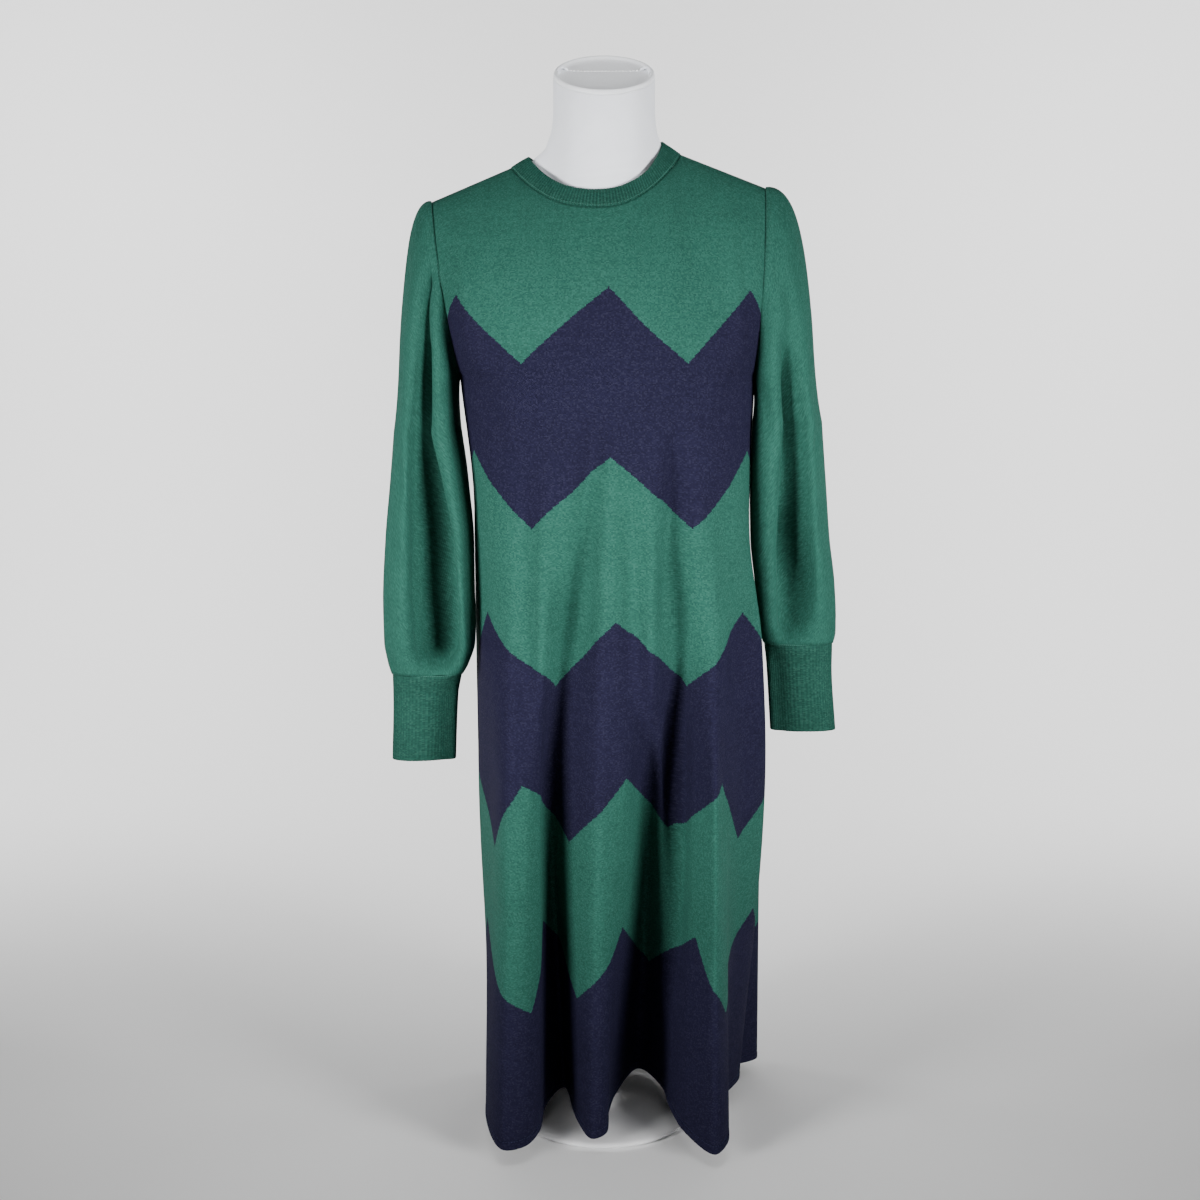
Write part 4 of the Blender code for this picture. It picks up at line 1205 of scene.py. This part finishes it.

# ---- Neck top ----------------------------------------------------------------------------
# The open end of the form's neck is closed by an oval of the same jersey, sunk a little
# below a rolled rim; its white is lighter than the cover's, as painted light on its upward face.
# The cover is folded in at both sides and tacked across with thread.
# Rings from the cover inwards: height, half width, half depth
NECK_TOP = (
    (1265.3, 58.2, 49.7), (1267.6, 58.1, 49.6), (1269.4, 57.2, 48.8), (1270.2, 55.6, 47.4),
    (1269.6, 53.9, 45.8), (1268.2, 52.9, 44.9), (1267.0, 50.5, 42.6), (1266.4, 44.0, 37.0),
    (1266.0, 32.0, 27.0), (1265.9, 16.0, 13.5),
)
NECK_LEAN = 0.5
# The fold at one side: how far out from the middle, y, and height where y is nought
FOLD_HOOK = ((52.5, 2.0, 1267.0), (52.0, 7.0, 1270.6), (48.5, 12.0, 1271.0), (42.5, 13.0, 1268.0))
FOLD_RADIUS = 1.7
TACK_REACH = 46.0
TACK_POINTS = 40
TACK_Y = 13.0
TACK_Z = 1272.7
TACK_RISE = 2.0
TACK_STITCH = (0.0, 4.0, 2.8, 1.5, 24, 0.3, 0.8)
OFF_NECK_TOP = (0.0, -0.45, 0.89)
THREAD_WHITE = (0.98, 0.98, 1.0)

neck_rows = [
    form_ring(z, half_width, 0, -half_depth, half_depth, NECK_LEAN, form_turns)
    for z, half_width, half_depth in NECK_TOP
]
# The neck top is coloured lighter than the rest of the cover: painted light
neck_top = closed_lathe("neck_top", np.array(neck_rows), jersey("cap_jersey_painted_light", CAP_WHITE_PAINTED_LIGHT))
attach(neck_top, "root")
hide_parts("form_neck_cap")

tack_x = np.linspace(-TACK_REACH, TACK_REACH, TACK_POINTS)
tack_z = TACK_Z + TACK_RISE * (abs(tack_x) / TACK_REACH) ** 6
tack_path = np.stack((tack_x, np.full(TACK_POINTS, TACK_Y), tack_z), axis=1)
white_thread = thread("white_thread", THREAD_WHITE)
stitched("neck_tack", tack_path, np.broadcast_to(OFF_NECK_TOP, tack_path.shape), False,
         TACK_STITCH, white_thread, white_thread)
for side, outward in (("left", -1.0), ("right", 1.0)):
    fold_line = bpy.data.curves.new("neck_fold_" + side, "CURVE")
    fold_line.dimensions = "3D"
    fold_line.bevel_depth = FOLD_RADIUS * MM
    fold_line.bevel_resolution = 4
    fold_line.use_fill_caps = True
    spline = fold_line.splines.new("BEZIER")
    spline.bezier_points.add(len(FOLD_HOOK) - 1)
    for point, (out, y, z) in zip(spline.bezier_points, FOLD_HOOK):
        point.co = (outward * out * MM, y * MM, (z + NECK_LEAN * y) * MM)
        point.handle_left_type = point.handle_right_type = "AUTO"
    fold = new_object("neck_fold_" + side, fold_line, white_jersey)
    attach(fold, "root")

# ---- Stand -------------------------------------------------------------------------------
# The form stands on a steel tube in a heavy round base, all in white enamel. The skirt
# hides them in the photograph, so they are plain.
# Profiles: height, radius
BASE_PROFILE = (
    (0.0, 104), (0.8, 107.6), (2.0, 109.4), (3.6, 110), (5.4, 109.2), (6.6, 107.4), (7.6, 104),
    (8.8, 80), (10.2, 45), (11.6, 30), (14.0, 24.8), (18.0, 22.6), (24.0, 21.6), (27.2, 20.6),
    (28.0, 19),
)
POLE_PROFILE = ((28.3, 11.9), (28.6, 12.5), (631.2, 12.5), (631.7, 11.9))
COLLAR_PROFILE = (
    (632.0, 19), (632.6, 20.2), (634.0, 21.6), (636.0, 22), (648.0, 22), (650.0, 22.8),
    (653.0, 28), (656.0, 33.4), (658.4, 35.6), (659.7, 36),
)
ENAMEL_WHITE = (0.84, 0.84, 0.85)

enamel, enamel_wire = new_material("white_enamel")
enamel_place = enamel_wire.node("ShaderNodeTexCoord", {}, {}, "Object")
scuffs = noise(enamel_place, 30.0, 6.0)
surfaced(enamel_wire, {
    "Base Color": scaled(enamel_wire, ENAMEL_WHITE, 0.92 + 0.12 * scuffs),
    "Roughness": 0.28 + 0.2 * scuffs, "Normal": bump(noise(enamel_place, 350.0), 0.15, 0.0002),
})
for name, node, profile in (
        ("round_base", "form_base", BASE_PROFILE), ("steel_pole", "form_pole", POLE_PROFILE),
        ("socket_collar", "form_collar", COLLAR_PROFILE)):
    rings = [form_ring(z, radius, 0, -radius, radius, 0, form_turns) for z, radius in profile]
    turned_part = closed_lathe(name, np.array(rings), enamel)
    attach(turned_part, "root")
    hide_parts(node)
